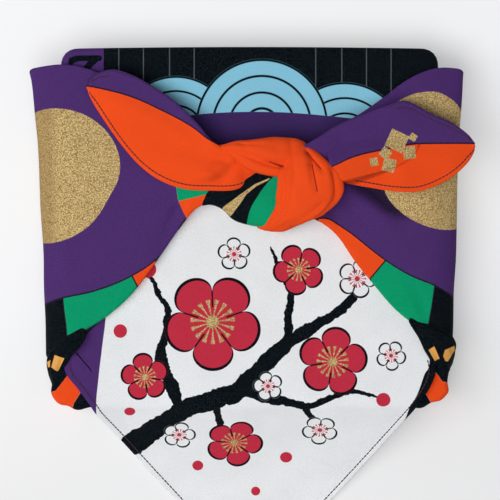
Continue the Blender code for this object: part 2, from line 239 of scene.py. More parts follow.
# Gathered cloth of the knot: one edge, the other edge, height of the middle, thickness
STRANDS = {
    "under_strand": (
        # first x, y, second x, y, z, thickness
        (-25, 26.5, -31, 13.5, 45.5, 3.5),
        (-22, 27.5, -25.5, 14, 47, 7),
        (-13.5, 29.5, -17.5, 11.4, 47.5, 9),
        (-5, 32.5, -10, 5, 47.8, 11),
        (8.1, 37.5, 0.5, 1.2, 48, 12),
        (26, 38.5, 16, 0.6, 48.5, 12),
        (45, 37, 42, 10, 47.5, 9),
    ),
    "over_strand": (
        (-24, 51.6, -24, 50.4, 52.5, 3),
        (-17, 52.2, -16.5, 49.8, 54.5, 6.5),
        (-8, 54.8, -8, 47, 57, 11),
        (2.5, 56, 3, 42.5, 58, 13.5),
        (16.6, 56.8, 17, 38, 58, 15),
        (29.5, 55.8, 27.6, 38, 56.5, 13),
        (36.5, 53.6, 36, 42, 53, 9),
    ),
    "over_roll": (
        (-23.5, 52.4, -24.5, 50.6, 52.5, 2.6),
        (-16.5, 51.4, -18.5, 48.4, 54.8, 4.6),
        (-8, 48.6, -11, 44.9, 56.8, 6.6),
        (-0.5, 45.2, -4, 39.8, 57.6, 8),
        (8, 41.4, 5, 35, 57.6, 9),
        (20, 38.4, 18.5, 32.4, 57, 8.6),
        (30, 38, 29, 34, 56, 7),
    ),
    "front_strand": (
        (24, 52, 36.8, 52.4, 56, 5),
        (22.4, 42, 46.8, 45, 60, 11),
        (19, 33, 58.6, 32.6, 61, 15),
        (17.9, 22, 59.4, 20.4, 59, 16),
        (17.2, 13, 48, 9, 55, 13),
        (10.6, 3.6, 33, 2.6, 50, 9),
        (4, -1, 20.5, -3.4, 45.8, 5),
    ),
    "roll_left": (
        (-108, -65.6, -106, -69.6, 41.6, 3),
        (-113, -68.6, -109, -75.6, 41.8, 5),
        (-119, -72, -113.2, -81.6, 41.2, 6.5),
        (-125.5, -76.5, -117.2, -86.6, 38.5, 7),
        (-130.4, -83.5, -120, -92.5, 34, 7.5),
        (-130.6, -92, -120.6, -99.5, 26, 7),
        (-129.4, -100, -122, -105, 16, 6),
        (-127.5, -106, -124, -109, 8, 5),
    ),
    "roll_right": (
        (104, -59.6, 103.6, -61.6, 41.8, 2.5),
        (110, -62.6, 107.4, -68.6, 41.9, 4.5),
        (119.5, -65.4, 112.4, -77.6, 41.6, 6),
        (128.8, -69.4, 116.8, -85.2, 38, 7),
        (133.2, -76, 119.4, -92.5, 32, 7.5),
        (131.6, -85, 121.5, -99, 22, 7),
        (128.6, -93, 122.5, -103, 10, 5),
    ),
}

# How finely each strand follows its folds: along it and round it
STRAND_GRIDS = {
    "under_strand": (30, 44),
    "over_strand": (44, 64),
    "over_roll": (44, 36),
    "front_strand": (60, 88),
    "roll_left": (40, 44),
    "roll_right": (40, 44),
}

# Folds that run along a strand: turn round it in degrees, half width, depth, where it starts and ends
STRAND_FOLDS = {
    "under_strand": (
        (60, 14, 0.16, 0, 0.7),
        (110, 16, 0.12, 0.2, 1),
    ),
    "over_strand": (
        # turn, half width, depth, start, end
        (58, 14, 0.10, 0.30, 0.95),
        (112, 12, 0.08, 0.15, 0.60),
    ),
    "over_roll": (
        (70, 14, 0.10, 0.1, 0.8),
    ),
    "front_strand": (
        (118, 10, 0.10, 0.10, 0.95),
        (140, 9, 0.14, 0.20, 0.90),
        (34, 10, 0.10, 0.30, 0.85),
        (94, 9, 0.07, 0.40, 1.00),
    ),
    "roll_left": (
        (60, 12, 0.18, 0, 1),
        (115, 12, 0.16, 0.2, 1),
    ),
    "roll_right": (
        (52, 11, 0.22, 0, 1),
        (84, 10, 0.16, 0.15, 1),
        (118, 11, 0.20, 0, 0.9),
        (146, 10, 0.16, 0, 0.8),
    ),
}

# Creases pressed into the knot from above, where one strand pulls on another
KNOT_CREASES = (
    # start x, y, end x, y, half width at start, at end, depth at start, at end
    (37, 47.5, 46.2, 36.5, 1.3, 1.5, 4.2, 1.6),
    (39.8, 40, 43.6, 21.5, 1.5, 1.3, 3.6, 0.8),
    (35, 45, 39, 24, 2.4, 3, -1.2, -0.4),
    (48.5, 42, 54.5, 26, 2.4, 3, -0.7, -0.4),
    (53, 34, 55, 18, 1.6, 1.8, 1.4, 0.6),
    (30, 34, 27.5, 10, 2.6, 3.4, 0.9, 0.5),
    (24, 42, 22, 12, 1.4, 1.4, 0.9, 0.4),
    (46, 14, 28, 1, 1.6, 1.8, 1.2, 0.8),
    (12, 41.6, 22, 38.4, 1.3, 1.2, 2.6, 2.4),
    (-6, 54, 2.5, 45, 1.6, 2.2, 1.1, 0.5),
    (14, 57, 20, 44, 2.2, 2.8, 0.6, 0.4),
    (26.5, 56, 27.5, 47, 1.8, 2, 1.4, 0.8),
)

# The two free ends from the tip to the knot: upper edge, lower edge, height, thickness
ENDS = {
    "left_end": (
        # first x, y, second x, y, z, thickness
        (-105, 91.4, -105.2, 90.2, 48, 1.6),
        (-99, 98, -102.2, 82.2, 48.6, 3.2),
        (-88, 101, -96.8, 73, 49.2, 4),
        (-75, 97, -84.2, 54.7, 50, 4.6),
        (-61, 89, -71.4, 39.8, 51, 5.2),
        (-48, 80, -58.2, 30, 52, 5.8),
        (-35, 67.5, -43, 24.4, 53, 7),
        (-23, 54, -26, 23.2, 54, 8),
        (-9, 48, -8, 24, 54, 5),
        (6, 40, 4.9, 32.4, 49.5, 5),
    ),
    "right_end": (
        (145.4, 53.6, 145.6, 52.4, 50.5, 1.6),
        (140.6, 59.4, 144.2, 46.4, 51, 2.8),
        (130.5, 66.6, 138.2, 38.2, 52, 3.4),
        (116, 73, 127, 29.6, 53, 4.2),
        (101, 80.6, 110.5, 22.8, 54, 5),
        (89, 77.6, 94, 22.6, 55, 5.6),
        (75, 72.4, 78, 25, 55.5, 6),
        (59.5, 66, 62, 28, 56, 7),
        (46, 58, 50, 32, 56.5, 8),
        (30, 48.6, 36, 34, 57.5, 8),
    ),
}

END_CREASES = (
    (-100, 88, -24, 52, 5, 7, -0.7, -1.2),
    (-56, 52, -15.5, 42, 6, 3.4, 0.8, 2.6),
    (-40, 31, -26, 33.5, 6, 3.4, -0.4, -2),
    (-26, 33.5, -12, 43, 3.4, 3, -2, -1.6),
    (-34, 27.5, -17.5, 30.5, 3, 2.6, 0.3, 1.2),
    (-17.5, 30.5, -8, 41.5, 2.6, 2.6, 1.2, 2.4),
    (-4, 40, -3, 30, 3, 3, 1.2, 1),
    (-56, 74, -30, 52, 5, 4, 0.3, 0.9),
    (58, 56, 96, 72, 4, 7, 0.9, 0.2),
    (60, 46, 92, 52, 4, 7, -0.9, -0.2),
    (60, 30, 92, 32, 5, 6, 2.2, 0.4),
    (110, 54, 140, 50, 5, 4, 0.5, 0.2),
)

# The tuck on the right end: its fold edge, how high it stands over the ply below
TUCK_ROWS = (
    # upper x, y, fold x, y, height over the end
    (109, 52.8, 109.4, 51.6, 0.5),
    (102.5, 58, 104.4, 44.9, 1.4),
    (92.5, 62, 94.2, 38.6, 2.4),
    (77.5, 62, 78.8, 33.6, 4.4),
    (63, 58, 64.2, 29.2, 6),
    (50, 52, 52, 30.5, 5.6),
)

# The pleat in the flap beside the left near corner: its outer side, its fold edge, height of the edge
PLEAT_ROWS = (
    # outer x, y, fold x, y, height over the flap
    (-118.5, -74, -117.4, -76, 1.4),
    (-119.4, -82, -112.4, -82.6, 1.7),
    (-118.6, -90, -107.6, -88.2, 1.3),
    (-114, -98, -103.6, -93, 0.7),
    (-109, -103, -100.8, -96.4, 0.1),
)

HEM_COLUMNS = (0.0, 0.6, 1.3, 2.1, 2.6, 3.0, 3.4, 4.0, 5.2)
STITCH_COLUMN = 5
HEM_RISE = 0.42
HEM_STEP = 0.9
STITCH_GROOVE = 0.28
STITCH_GROOVE_HALF = 0.55

# The near corner under the flap: y and half width of its rows, of the fold at its far end and of the way back
NEAR_CORNER_ROWS = ((-58.0, 117.0), (-10.0, 117.0), (40.0, 117.0), (80.0, 116.0), (108.0, 113.0))
NEAR_CORNER_TURN = (108.5, 112.0)
NEAR_CORNER_RETURN = ((107.5, 111.0), (69.7, 72.5), (31.9, 34.0), (-0.5, 1.0))
NEAR_CORNER_FOLD = 0.8
WALL_TOP_ROW = 14

# Side wraps: how far out the top ends and the wall begins
SHOULDER = 117.0

# Side wraps: how far the innermost ply stays back from the near fold, as a share of its reach
INNERMOST_GAP = 0.04

# The slow unevenness of each kind of surface
NOISE_SHIFTS = (37.0, 11.0, 5.0)
WANDERINGS = {
    # size, depth, seed
    "flap": (38.0, 0.9, 1),
    "wraps": (30.0, 0.8, 2),
    "ends": (22.0, 0.9, 5),
    "strands": (11.0, 0.8, 7),
}

# Degrees between the points of a rounded top edge and of a far corner
EDGE_STEP = 18
CORNER_STEP = 15

# Rows between the walls' top edge and the first row of the flap, and of the near corner
FLAP_STRIP_ROWS = 5
NEAR_STRIP_ROWS = 4

# What is higher is on the top, and where the print of the top is laid down
ON_TOP = 30.0
LEVEL_Y = 20.0

# Where each of these sets in, and over how far: towards the viewer, but the wraps' creases upwards
FLAP_HEM_START = (60.0, 30.0)
FLAP_WANDER_START = (-60.0, 20.0)
FLAP_SLANT_START = (84.0, 8.0)
WRAP_CREASE_START = (ON_TOP, 8.0)

# The smaller pleats between the large ones of a near corner
FINE_PLEATS = 7.0
FINE_PLEAT_DEPTH = 0.45
FINE_PLEAT_SHIFT = 0.8
FRONT_HALF_WIDTH = 70.0

UNDERSIDE_INSET = 0.8
UNDERSIDE_POINTS = 25

SLOPE_STEP = 0.004
TINY = 1e-9

# Ends: the fold along the crest, the ply turned under there, and how far the surface falls to the lower hem
END_FOLD_SHARE = 0.3
END_FOLD_LIMITS = (0.5, 1.5)
END_REACH = 0.72
END_REACH_LIMIT = 0.8
END_FALL = 1.7
END_HEM_FADE = 0.07
NO_HEM = 99.0
END_SAMPLES = 400
TUCK_LEVEL = 0.35

# Tucks: their rows and columns, the fold at their edge, and the ply turned under there
TUCK_LENGTH_ROWS = 30
TUCK_COLUMNS = 16
TUCK_FOLD = (0.3, 0.25)
TUCK_STEEPNESS = 1.6
TUCK_SINK = 0.2
TUCK_RETURN = (0.25, 0.5, 0.75, 1.0)
TUCK_REACH = 6.0
TUCK_REACH_SHARE = 0.6
TUCK_RETURN_FALL = 0.15

# Strands: how square their section is, how their folds sway, fade and pile up beside, and how their ends close
STRAND_POWERS = (0.8, 0.9)
SWAY_DEGREES = 6.0
SWAYS = 5.0
FOLD_FADE = 0.10
LIP_SHARE = 0.35
LIP_PLACE = 1.9
CLOSED_SHARE = 0.55
CLOSED_LENGTH = 0.02

STITCH_SIDES = 6
STITCH_SLOPE_STEP = 0.0006

FLOOR_HALF = 2.5
FLOOR_TINT = (1.0, 1.004, 1.012)

# Where the floor's glow begins to fade towards the viewer, over how far, by how much, and its lean to the left
FADE_START = -0.03
FADE_LENGTH = 0.13
FADE_DEPTH = 0.09
FADE_LEAN = -0.15

LIGHTS = (
    # name, place, size, setting with its power
    ("overhead_light", (-0.5, -0.75, 3.0), 2.2, "overhead_power"),
    ("key_light", (-1.35, 0.0, 1.7), 1.3, "key_power"),
)


def smooth_step(value):
    value = np.clip(value, 0.0, 1.0)
    return value * value * (3.0 - 2.0 * value)


def grown(distance, start, length):
    """0 up to the start, and 1 once the distance is past it by the length."""
    return smooth_step((distance - start) / length)


def half_turn(first=0):
    """Angles of the steps round a fold, from its start or from the step given on, and then with its end."""
    return [math.pi * step / TURN_STEPS for step in range(first, TURN_STEPS + first)]


def bell(distance):
    return np.exp(-(distance**2))


def curve_through(rows, count):
    """A smooth curve through the rows, as count points spread evenly over the rows' numbers."""
    rows = np.asarray(rows, float)
    padded = np.vstack([2 * rows[0] - rows[1], rows, 2 * rows[-1] - rows[-2]])
    place = np.linspace(0, len(rows) - 1, count)
    start = np.minimum(place.astype(int), len(rows) - 2)
    part = (place - start)[:, None]
    before, first, second, after = (padded[start + step] for step in range(4))
    return 0.5 * (
        2 * first
        + (second - before) * part
        + (2 * before - 5 * first + 4 * second - after) * part**2
        + (3 * first - before - 3 * second + after) * part**3
    )


def unit(vectors):
    return vectors / np.maximum(np.linalg.norm(vectors, axis=-1, keepdims=True), TINY)


def run_lengths(path):
    """How far along the path each of its points lies."""
    steps = np.linalg.norm(np.diff(path, axis=0), axis=-1)
    return np.concatenate([np.zeros_like(steps[:1]), np.cumsum(steps, axis=0)])


def run_share(path):
    run = run_lengths(path)
    return run / run[-1]


def at_run(distance, run, rows):
    """The row at this distance along the run, between the rows given."""
    return np.array([np.interp(distance, run, values) for values in rows.T])


def evenly(path, count):
    """The path again, as count points at equal distances."""
    share = run_share(path)
    places = np.linspace(0.0, 1.0, count)
    return np.column_stack([np.interp(places, share, values) for values in path.T])


def normals_of(grid, facing=1.0):
    across = np.gradient(grid, axis=1)
    along = np.gradient(grid, axis=0)
    return facing * unit(np.cross(across, along))


def wandered(grid, normals, size, depth, seed):
    """The grid with a slow unevenness, as cotton has that lies unironed."""
    shift = seed * np.array(NOISE_SHIFTS)
    flat = (grid.reshape(-1, 3) + shift) / size
    rise = np.array([mathutils.noise.noise(mathutils.Vector(place)) for place in flat])
    return grid + depth * rise.reshape(grid.shape[:2])[..., None] * normals


def creased(grid, normals, creases):
    """The grid with a soft trough, or a ridge where the depth is negative, along each line seen from above."""
    out = grid.copy()
    for x0, y0, x1, y1, half_start, half_end, depth_start, depth_end in creases:
        start = np.array([x0, y0])
        way = np.array([x1, y1]) - start
        share = np.clip(((grid[..., :2] - start) @ way) / (way @ way), 0.0, 1.0)
        away = np.linalg.norm(grid[..., :2] - start - share[..., None] * way, axis=-1)
        half = half_start + share * (half_end - half_start)
        depth = depth_start + share * (depth_end - depth_start)
        out -= (depth * bell(away / half))[..., None] * normals
    return out


def hem_relief(distance):
    """How far a turned hem stands up at this distance from its edge."""
    seam = HEM_COLUMNS[STITCH_COLUMN]
    turned = smooth_step((seam + HEM_STEP - distance) / HEM_STEP)
    return HEM_RISE * turned - STITCH_GROOVE * bell((distance - seam) / STITCH_GROOVE_HALF)


def onto_walls(path):
    """The points of the path moved onto the upright walls of the wrapped space, seen from above."""
    inner = np.array([HALF_WIDTH - CORNER_RADIUS, HALF_DEPTH - CORNER_RADIUS])
    middle = np.clip(path, -inner, inner)
    return middle + CORNER_RADIUS * unit(path - middle)


def wall_rows(outline, top):
    """Rows of points up a wall that swells to the outline and turns in at its top edge.

    The outline runs clockwise round the wrap, so the inner side is on its right.
    """
    base = onto_walls(outline)
    along = unit(np.gradient(base, axis=0))
    inwards = np.column_stack([along[:, 1], -along[:, 0]])
    profile = list(WALL_PROFILE)
    for angle in range(0, 91, EDGE_STEP):
        turn = math.radians(angle)
        profile.append((EDGE_RADIUS * (1 - math.cos(turn)), top - EDGE_RADIUS * (1 - math.sin(turn))))
    rows = []
    for inset, height in profile:
        swell = smooth_step(height / (SWELL_SHARE * top))
        path = base + swell * (outline - base) + inset * inwards
        rows.append(np.column_stack([path, np.full(len(path), height)]))
    return rows


def straight_row(shares, y, left, right, height):
    across = left + shares * (right - left)
    return np.column_stack([across, np.full(len(shares), y), np.full(len(shares), height)])


def blended_rows(first, last, count):
    """Rows between two rows, without either of them."""
    shares = np.linspace(0.0, 1.0, count + 2)[1:-1]
    return [(1 - share) * first + share * last for share in shares]


def hemmed_across(shares, left, right, hem, slant=math.sqrt(2.0)):
    """Places across a row: columns at the hem's own distances from both edges, and even ones between."""
    width = right - left
    even = left + shares * width
    count = len(HEM_COLUMNS)
    near_edge = np.array(HEM_COLUMNS) * slant
    first = left + np.minimum(near_edge, shares[:count] * width)
    last = right - np.minimum(near_edge[::-1], (1 - shares[-count:]) * width)
    between = np.linspace(first[-1], last[0], len(shares) - 2 * count + 2)[1:-1]
    return (1 - hem) * even + hem * np.concatenate([first, between, last])


def flap_shape():
    """Far wall, over the top and down in front to the point: the grid, and each point's place on the flat cloth."""
    left = [(-FAR_HALF_WIDTH, HALF_DEPTH - STRIP), (-FAR_HALF_WIDTH, HALF_DEPTH - FAR_CORNER_RADIUS)]
    for angle in range(CORNER_STEP, 91, CORNER_STEP):
        turn = math.radians(angle)
        across = -FAR_HALF_WIDTH + FAR_CORNER_RADIUS * (1 - math.cos(turn))
        left.append((across, HALF_DEPTH - FAR_CORNER_RADIUS * (1 - math.sin(turn))))
    outline = evenly(np.array(left + [(-x, y) for x, y in reversed(left)]), FLAP_COLUMNS)
    bow = FAR_BOW * np.clip(1 - (outline[:, 0] / (FAR_HALF_WIDTH - FAR_CORNER_RADIUS)) ** 2, 0.0, 1.0)
    outline[:, 1] += bow * (outline[:, 1] > HALF_DEPTH - 0.5)
    shares = run_share(outline)
    rows = wall_rows(outline, FLAP_PLY)
    across = [(shares - 0.5) * run_lengths(outline)[-1]] * len(rows)
    top = curve_through(FLAP_ROWS, FLAP_ROW_COUNT)
    strip_end = straight_row(shares, *top[0])
    strip = blended_rows(rows[-1], strip_end, FLAP_STRIP_ROWS)
    for place, row in enumerate(strip):
        share = (place + 1) / (len(strip) + 1)
        across.append((1 - share) * across[0] + share * strip_end[:, 0])
    rows += strip
    for y, left_edge, right_edge, height in top:
        hem = grown(-y, *FLAP_HEM_START)
        row = straight_row(shares, y, left_edge, right_edge, height)
        row[:, 0] = hemmed_across(shares, left_edge, right_edge, hem)
        rows.append(row)
        across.append(row[:, 0])
    grid = np.array(rows)
    middle = FLAP_COLUMNS // 2
    run = run_lengths(grid[:, middle])
    level = np.argmin(np.where(grid[:, middle, 2] < ON_TOP, np.inf, np.abs(grid[:, middle, 1] - LEVEL_Y)))
    up = grid[level, middle, 1] + run[level] - run
    flat = np.stack([np.array(across), np.repeat(up[:, None], FLAP_COLUMNS, axis=1)], axis=-1)
    normals = normals_of(grid, -1.0)
    grid = creased(grid, normals, FLAP_CREASES)
    soft = grown(-grid[..., 1], *FLAP_WANDER_START)[..., None]
    grid = (1 - soft) * grid + soft * wandered(grid, normals, *WANDERINGS["flap"])
    x = grid[..., 0]
    on_slant = grown(-grid[..., 1], *FLAP_SLANT_START)
    edge = np.minimum(x - x[:, :1], x[:, -1:] - x) / math.sqrt(2.0)
    grid = grid + (on_slant * hem_relief(edge))[..., None] * normals
    return grid, flat


def near_wall_shape():
    """Near wall with its bunched corners, the ply under the flap and the near corner folded back under it."""
    wave = np.linspace(0.0, 1.0, CORNER_COLUMNS)
    pleats = PLEAT_DEPTH * np.sin(2 * math.pi * PLEATS * wave)
    pleats += FINE_PLEAT_DEPTH * np.sin(2 * math.pi * FINE_PLEATS * wave + FINE_PLEAT_SHIFT)
    pleats *= np.sin(math.pi * wave)
    corners = {}
    for side, table in NEAR_CORNERS.items():
        corner = curve_through(table, CORNER_COLUMNS)
        along = unit(np.gradient(corner, axis=0))
        corners[side] = corner + side * pleats[:, None] * np.column_stack([along[:, 1], -along[:, 0]])
    front_x = np.linspace(FRONT_HALF_WIDTH, -FRONT_HALF_WIDTH, FRONT_COLUMNS)
    front = np.column_stack([front_x, np.full(FRONT_COLUMNS, -HALF_DEPTH)])
    outline = np.vstack([corners[1], front, corners[-1][::-1]])
    rows = wall_rows(outline, NEAR_PLY)
    shares = run_share(outline)
    corner_rows = [straight_row(shares, y, half, -half, NEAR_PLY) for y, half in NEAR_CORNER_ROWS]
    rows += blended_rows(rows[-1], corner_rows[0], NEAR_STRIP_ROWS) + corner_rows
    fold = NEAR_CORNER_FOLD
    y, half = NEAR_CORNER_TURN
    for angle in (-45.0, 0.0, 45.0):
        turn = math.radians(angle)
        height = NEAR_PLY - fold - fold * math.sin(turn)
        rows.append(straight_row(shares, y + fold * math.cos(turn), half, -half, height))
    rows += [straight_row(shares, y, half, -half, NEAR_PLY - 2 * fold) for y, half in NEAR_CORNER_RETURN]
    grid = np.array(rows)
    run = run_lengths(grid[:, len(shares) // 2])
    across = (0.5 - shares) * run_lengths(outline)[-1]
    up = run - run[WALL_TOP_ROW] - HALF_DEPTH
    return grid, np.stack(np.broadcast_arrays(across[None], up[:, None]), axis=-1)


def underside_shape():
    rows = []
    inset, count = UNDERSIDE_INSET, UNDERSIDE_POINTS
    for y in np.linspace(-HALF_DEPTH + inset, HALF_DEPTH - inset, count):
        over = max(0.0, abs(y) - (HALF_DEPTH - CORNER_RADIUS)) / CORNER_RADIUS
        half = HALF_WIDTH - CORNER_RADIUS * (1 - math.sqrt(max(0.0, 1 - over * over))) - inset
        rows.append(straight_row(np.linspace(0.0, 1.0, count), y, half, -half, UNDERSIDE_PLY))
    grid = np.array(rows)
    return grid, grid[..., :2] * (1.0, -1.0)


def wrap_place(rows, shares):
    """Points of a side wrap's top ply: rows of the table, and 0 at the far edge to 1 at the near edge."""
    far_x, far_y, far_z, middle_x, middle_z, near_x, near_y, near_z = (column[:, None] for column in rows.T)

    def through(far, middle, near, place):
        return (1 - place) * (1 - 2 * place) * far + 4 * place * (1 - place) * middle + place * (2 * place - 1) * near

    return np.stack(
        [
            through(far_x, middle_x, near_x, np.clip(shares, 0.0, 2.0) ** FLARE),
            (1 - shares) * far_y + shares * near_y,
            through(far_z, middle_z, near_z, shares),
        ],
        axis=-1,
    )


def wrap_shape(table, facing):
    """A side corner of the cloth with its folded-under plies, in one run across.

    From the innermost ply: out to the near fold, over the top to the far fold, and back under.
    """
    rows = curve_through(table, WRAP_ROWS)
    ones = np.ones(len(rows))
    outer = REACH_ENDS[1] - REACH_ENDS[0]
    reach = FULL_REACH * (1 - smooth_step((np.abs(rows[:, 3]) - REACH_ENDS[0]) / outer))
    past_top = np.arange(len(rows)) > np.argmax(np.abs(rows[:, 3]))
    reach = np.where(past_top, SHORT_REACH, np.maximum(reach, SHORT_REACH))
    inner, near, far = INNER_FOLD_RADIUS, NEAR_FOLD_RADIUS, FAR_FOLD_RADIUS
    turns = half_turn()
    returns = np.linspace(0.0, 1.0, RETURN_COLUMNS, endpoint=False)
    first = 1 - INNERMOST_GAP * reach
    profile = [
        # share across, outwards, level under the top ply
        *((first + step * (1 - reach - first), 0.0, 2 * near + 2 * inner) for step in returns),
        *((1 - reach, -inner * math.sin(turn), 2 * near + inner * (1 + math.cos(turn))) for turn in turns),
        *((1 - reach * (1 - step), 0.0, 2 * near) for step in returns),
        *((ones, near * math.sin(turn), near * (1 + math.cos(turn))) for turn in turns),
        *((step * ones, 0.0, 0.0) for step in np.linspace(1.0, 0.0, WRAP_COLUMNS, endpoint=False)),
        *((0 * ones, -far * math.sin(turn), far * (1 - math.cos(turn))) for turn in turns),
        *((reach * step, 0.0, 2 * far) for step in np.linspace(0.0, 1.0, RETURN_COLUMNS)),
    ]
    shares = np.stack([column[0] for column in profile], axis=1)
    outwards, level = (np.array([column[item] for column in profile])[None, :, None] for item in (1, 2))
    place = wrap_place(rows, shares)
    across = unit(wrap_place(rows, shares + SLOPE_STEP) - wrap_place(rows, shares - SLOPE_STEP))
    along = np.gradient(wrap_place(rows, np.broadcast_to(shares.mean(axis=0), shares.shape)), axis=0)
    normals = facing * unit(np.cross(along, across))
    over = grown(place[..., 2:], *WRAP_CREASE_START)
    surface = creased(place, over * normals, WRAP_CREASES)
    size, depth, seed = WANDERINGS["wraps"]
    surface = wandered(surface, normals, size, depth, seed + facing)
    columns = np.arange(len(profile))
    near_side = columns < 2 * RETURN_COLUMNS + 2 * TURN_STEPS
    grid = surface + outwards * across - level * normals
    run = run_lengths(place)
    shoulder = np.argmax(np.abs(place[..., 0]) > SHOULDER, axis=0)
    from_shoulder = run - run[shoulder, columns]
    u = np.where(from_shoulder > 0, place[shoulder, columns, 0] - facing * from_shoulder, place[..., 0])
    edge = np.where(near_side, rows[:, 6:7], rows[:, 1:2])
    v = np.where(level[..., 0] > 0, 2 * edge - place[..., 1], place[..., 1])
    return grid, np.stack([u, v], axis=-1)


def end_shape(table, upper_hem):
    """A free end of the cloth: its front ply from the lower hem to the crest, and the ply turned under there."""
    rows = curve_through(table, END_ROWS)
    first, second, height, thick = rows[:, 0:2], rows[:, 2:4], rows[:, 4:5], rows[:, 5:6]
    width = np.linalg.norm(first - second, axis=1)[:, None]
    radius = np.minimum(np.clip(END_FOLD_SHARE * thick, *END_FOLD_LIMITS), END_FOLD_SHARE * width)
    flat_width = width - radius
    even = np.linspace(0.0, 1.0, END_COLUMNS)
    distance = np.array([hemmed_across(even, 0.0, flat[0], 1.0, 1.0) for flat in flat_width])
    run = run_share(0.5 * (first + second))[:, None]
    past_hem = grown(run, upper_hem, END_HEM_FADE)
    reach = HEM_WIDTH + past_hem * (END_REACH * width - HEM_WIDTH)
    reach = np.minimum(reach, END_REACH_LIMIT * width)

    def surface(shares):
        return height + 0.5 * thick * (1 - END_FALL * shares**3)

    shares = 1 - distance / width
    top = surface(np.clip(shares, 0.0, 1.0))
    turned, drop = [], []
    for turn in half_turn(1):
        turned.append((radius - radius * math.sin(turn)) / width)
        drop.append(radius * (1 - math.cos(turn)))
    for step in np.linspace(0.0, 1.0, END_RETURN_COLUMNS)[1:]:
        turned.append((radius + step * reach) / width)
        drop.append(2 * radius)
    turned = np.concatenate(turned, axis=1)
    under = surface(turned) - np.concatenate(drop, axis=1)
    shares = np.concatenate([shares, turned], axis=1)
    z = np.concatenate([top, under], axis=1)
    plan = first[:, None] + shares[..., None] * (second - first)[:, None]
    grid = np.concatenate([plan, z[..., None]], axis=2)
    mirrored = 2 * first[:, None] - plan
    is_under = (np.arange(shares.shape[1]) > END_COLUMNS + TURN_STEPS // 2)[None, :, None]
    flat = np.where(is_under, mirrored, plan)
    up = np.zeros_like(grid)
    up[..., 2] = 1.0
    grid = wandered(creased(grid, up, END_CREASES), up, *WANDERINGS["ends"])
    lower = (1 - shares) * width
    upper = shares * width + NO_HEM * past_hem
    front = (np.arange(shares.shape[1]) < END_COLUMNS)[None]
    relief = np.where(front, hem_relief(lower) + hem_relief(upper) * (1 - past_hem), 0.0)
    grid = grid + relief[..., None] * up
    return grid, flat


def height_of_end(x):
    """Height of the right end's surface there."""
    base = curve_through(ENDS["right_end"], END_SAMPLES)
    place = np.argmin(np.abs(0.5 * (base[:, 0] + base[:, 2]) - x))
    return base[place, 4] + TUCK_LEVEL * base[place, 5]


def tuck_shape(table, height_at):
    """A fold that lies over a ply: from its outer side across to its edge, turned under there."""
    grid = []
    for x0, y0, x1, y1, rise in curve_through(table, TUCK_LENGTH_ROWS):
        base = height_at(0.5 * (x0 + x1))
        way = np.array([x1 - x0, y1 - y0])
        long = np.linalg.norm(way)
        way = way / max(long, TINY)
        radius = TUCK_FOLD[0] * rise + TUCK_FOLD[1]
        row = []
        for share in np.linspace(0.0, 1.0, TUCK_COLUMNS):
            lift = rise * smooth_step(share * TUCK_STEEPNESS) - TUCK_SINK
            row.append((*(np.array([x0, y0]) + share * (long - radius) * way), base + lift))
        end_x, end_y, end_z = row[-1]
        for turn in half_turn(1):
            out = radius * math.sin(turn)
            row.append((end_x + out * way[0], end_y + out * way[1], end_z - radius * (1 - math.cos(turn))))
        for share in TUCK_RETURN:
            back = min(TUCK_REACH, TUCK_REACH_SHARE * long) * share
            fall = 2 * radius + TUCK_RETURN_FALL * share
            row.append((end_x - back * way[0], end_y - back * way[1], end_z - fall))
        grid.append(row)
    grid = np.array(grid)
    return grid, grid[..., :2]


def strand_shape(name):
    """Gathered cloth between two edges, with the folds that run along it, closed round itself."""
    length, sides = STRAND_GRIDS[name]
    rows = curve_through(STRANDS[name], length)
    first = rows[:, [0, 1, 4]]
    second = rows[:, [2, 3, 4]]
    middle = 0.5 * (first + second)
    half_across = 0.5 * (second - first)
    up = unit(np.cross(half_across, np.gradient(middle, axis=0)))
    up *= np.sign(up[len(up) // 3, 2])
    turn = np.linspace(0.0, 2 * math.pi, sides, endpoint=False)
    across, rise = (
        np.sign(wave) * np.abs(wave) ** power for wave, power in zip((np.cos(turn), np.sin(turn)), STRAND_POWERS)
    )
    along = np.linspace(0.0, 1.0, length)[:, None]
    pinch = np.ones((length, sides))
    degrees = np.degrees(turn)[None]
    for place, half, depth, start, end in STRAND_FOLDS[name]:
        away = np.abs((degrees - place - SWAY_DEGREES * np.sin(SWAYS * along) + 180.0) % 360.0 - 180.0)
        reach = smooth_step((along - start) / FOLD_FADE + 0.5) * smooth_step((end - along) / FOLD_FADE + 0.5)
        pinch -= depth * bell(away / half) * reach
        pinch += LIP_SHARE * depth * bell((away - LIP_PLACE * half) / half) * reach
    pinch *= 1 - CLOSED_SHARE * (bell(along / CLOSED_LENGTH) + bell((1 - along) / CLOSED_LENGTH))
    grid = (
        middle[:, None]
        + (pinch * across)[..., None] * half_across[:, None]
        + (0.5 * pinch * rise * rows[:, 5:6])[..., None] * up[:, None]
    )
    normals = unit(grid - middle[:, None])
    grid = wandered(grid, normals, *WANDERINGS["strands"])
    on_top = smooth_step(2.0 * rise)[None, :, None] * np.array([0.0, 0.0, 1.0])
    return creased(grid, on_top, KNOT_CREASES), grid[..., :2]


def add_object(name, data):
    obj = bpy.data.objects.new(name, data)
    bpy.context.scene.collection.objects.link(obj)
    return obj


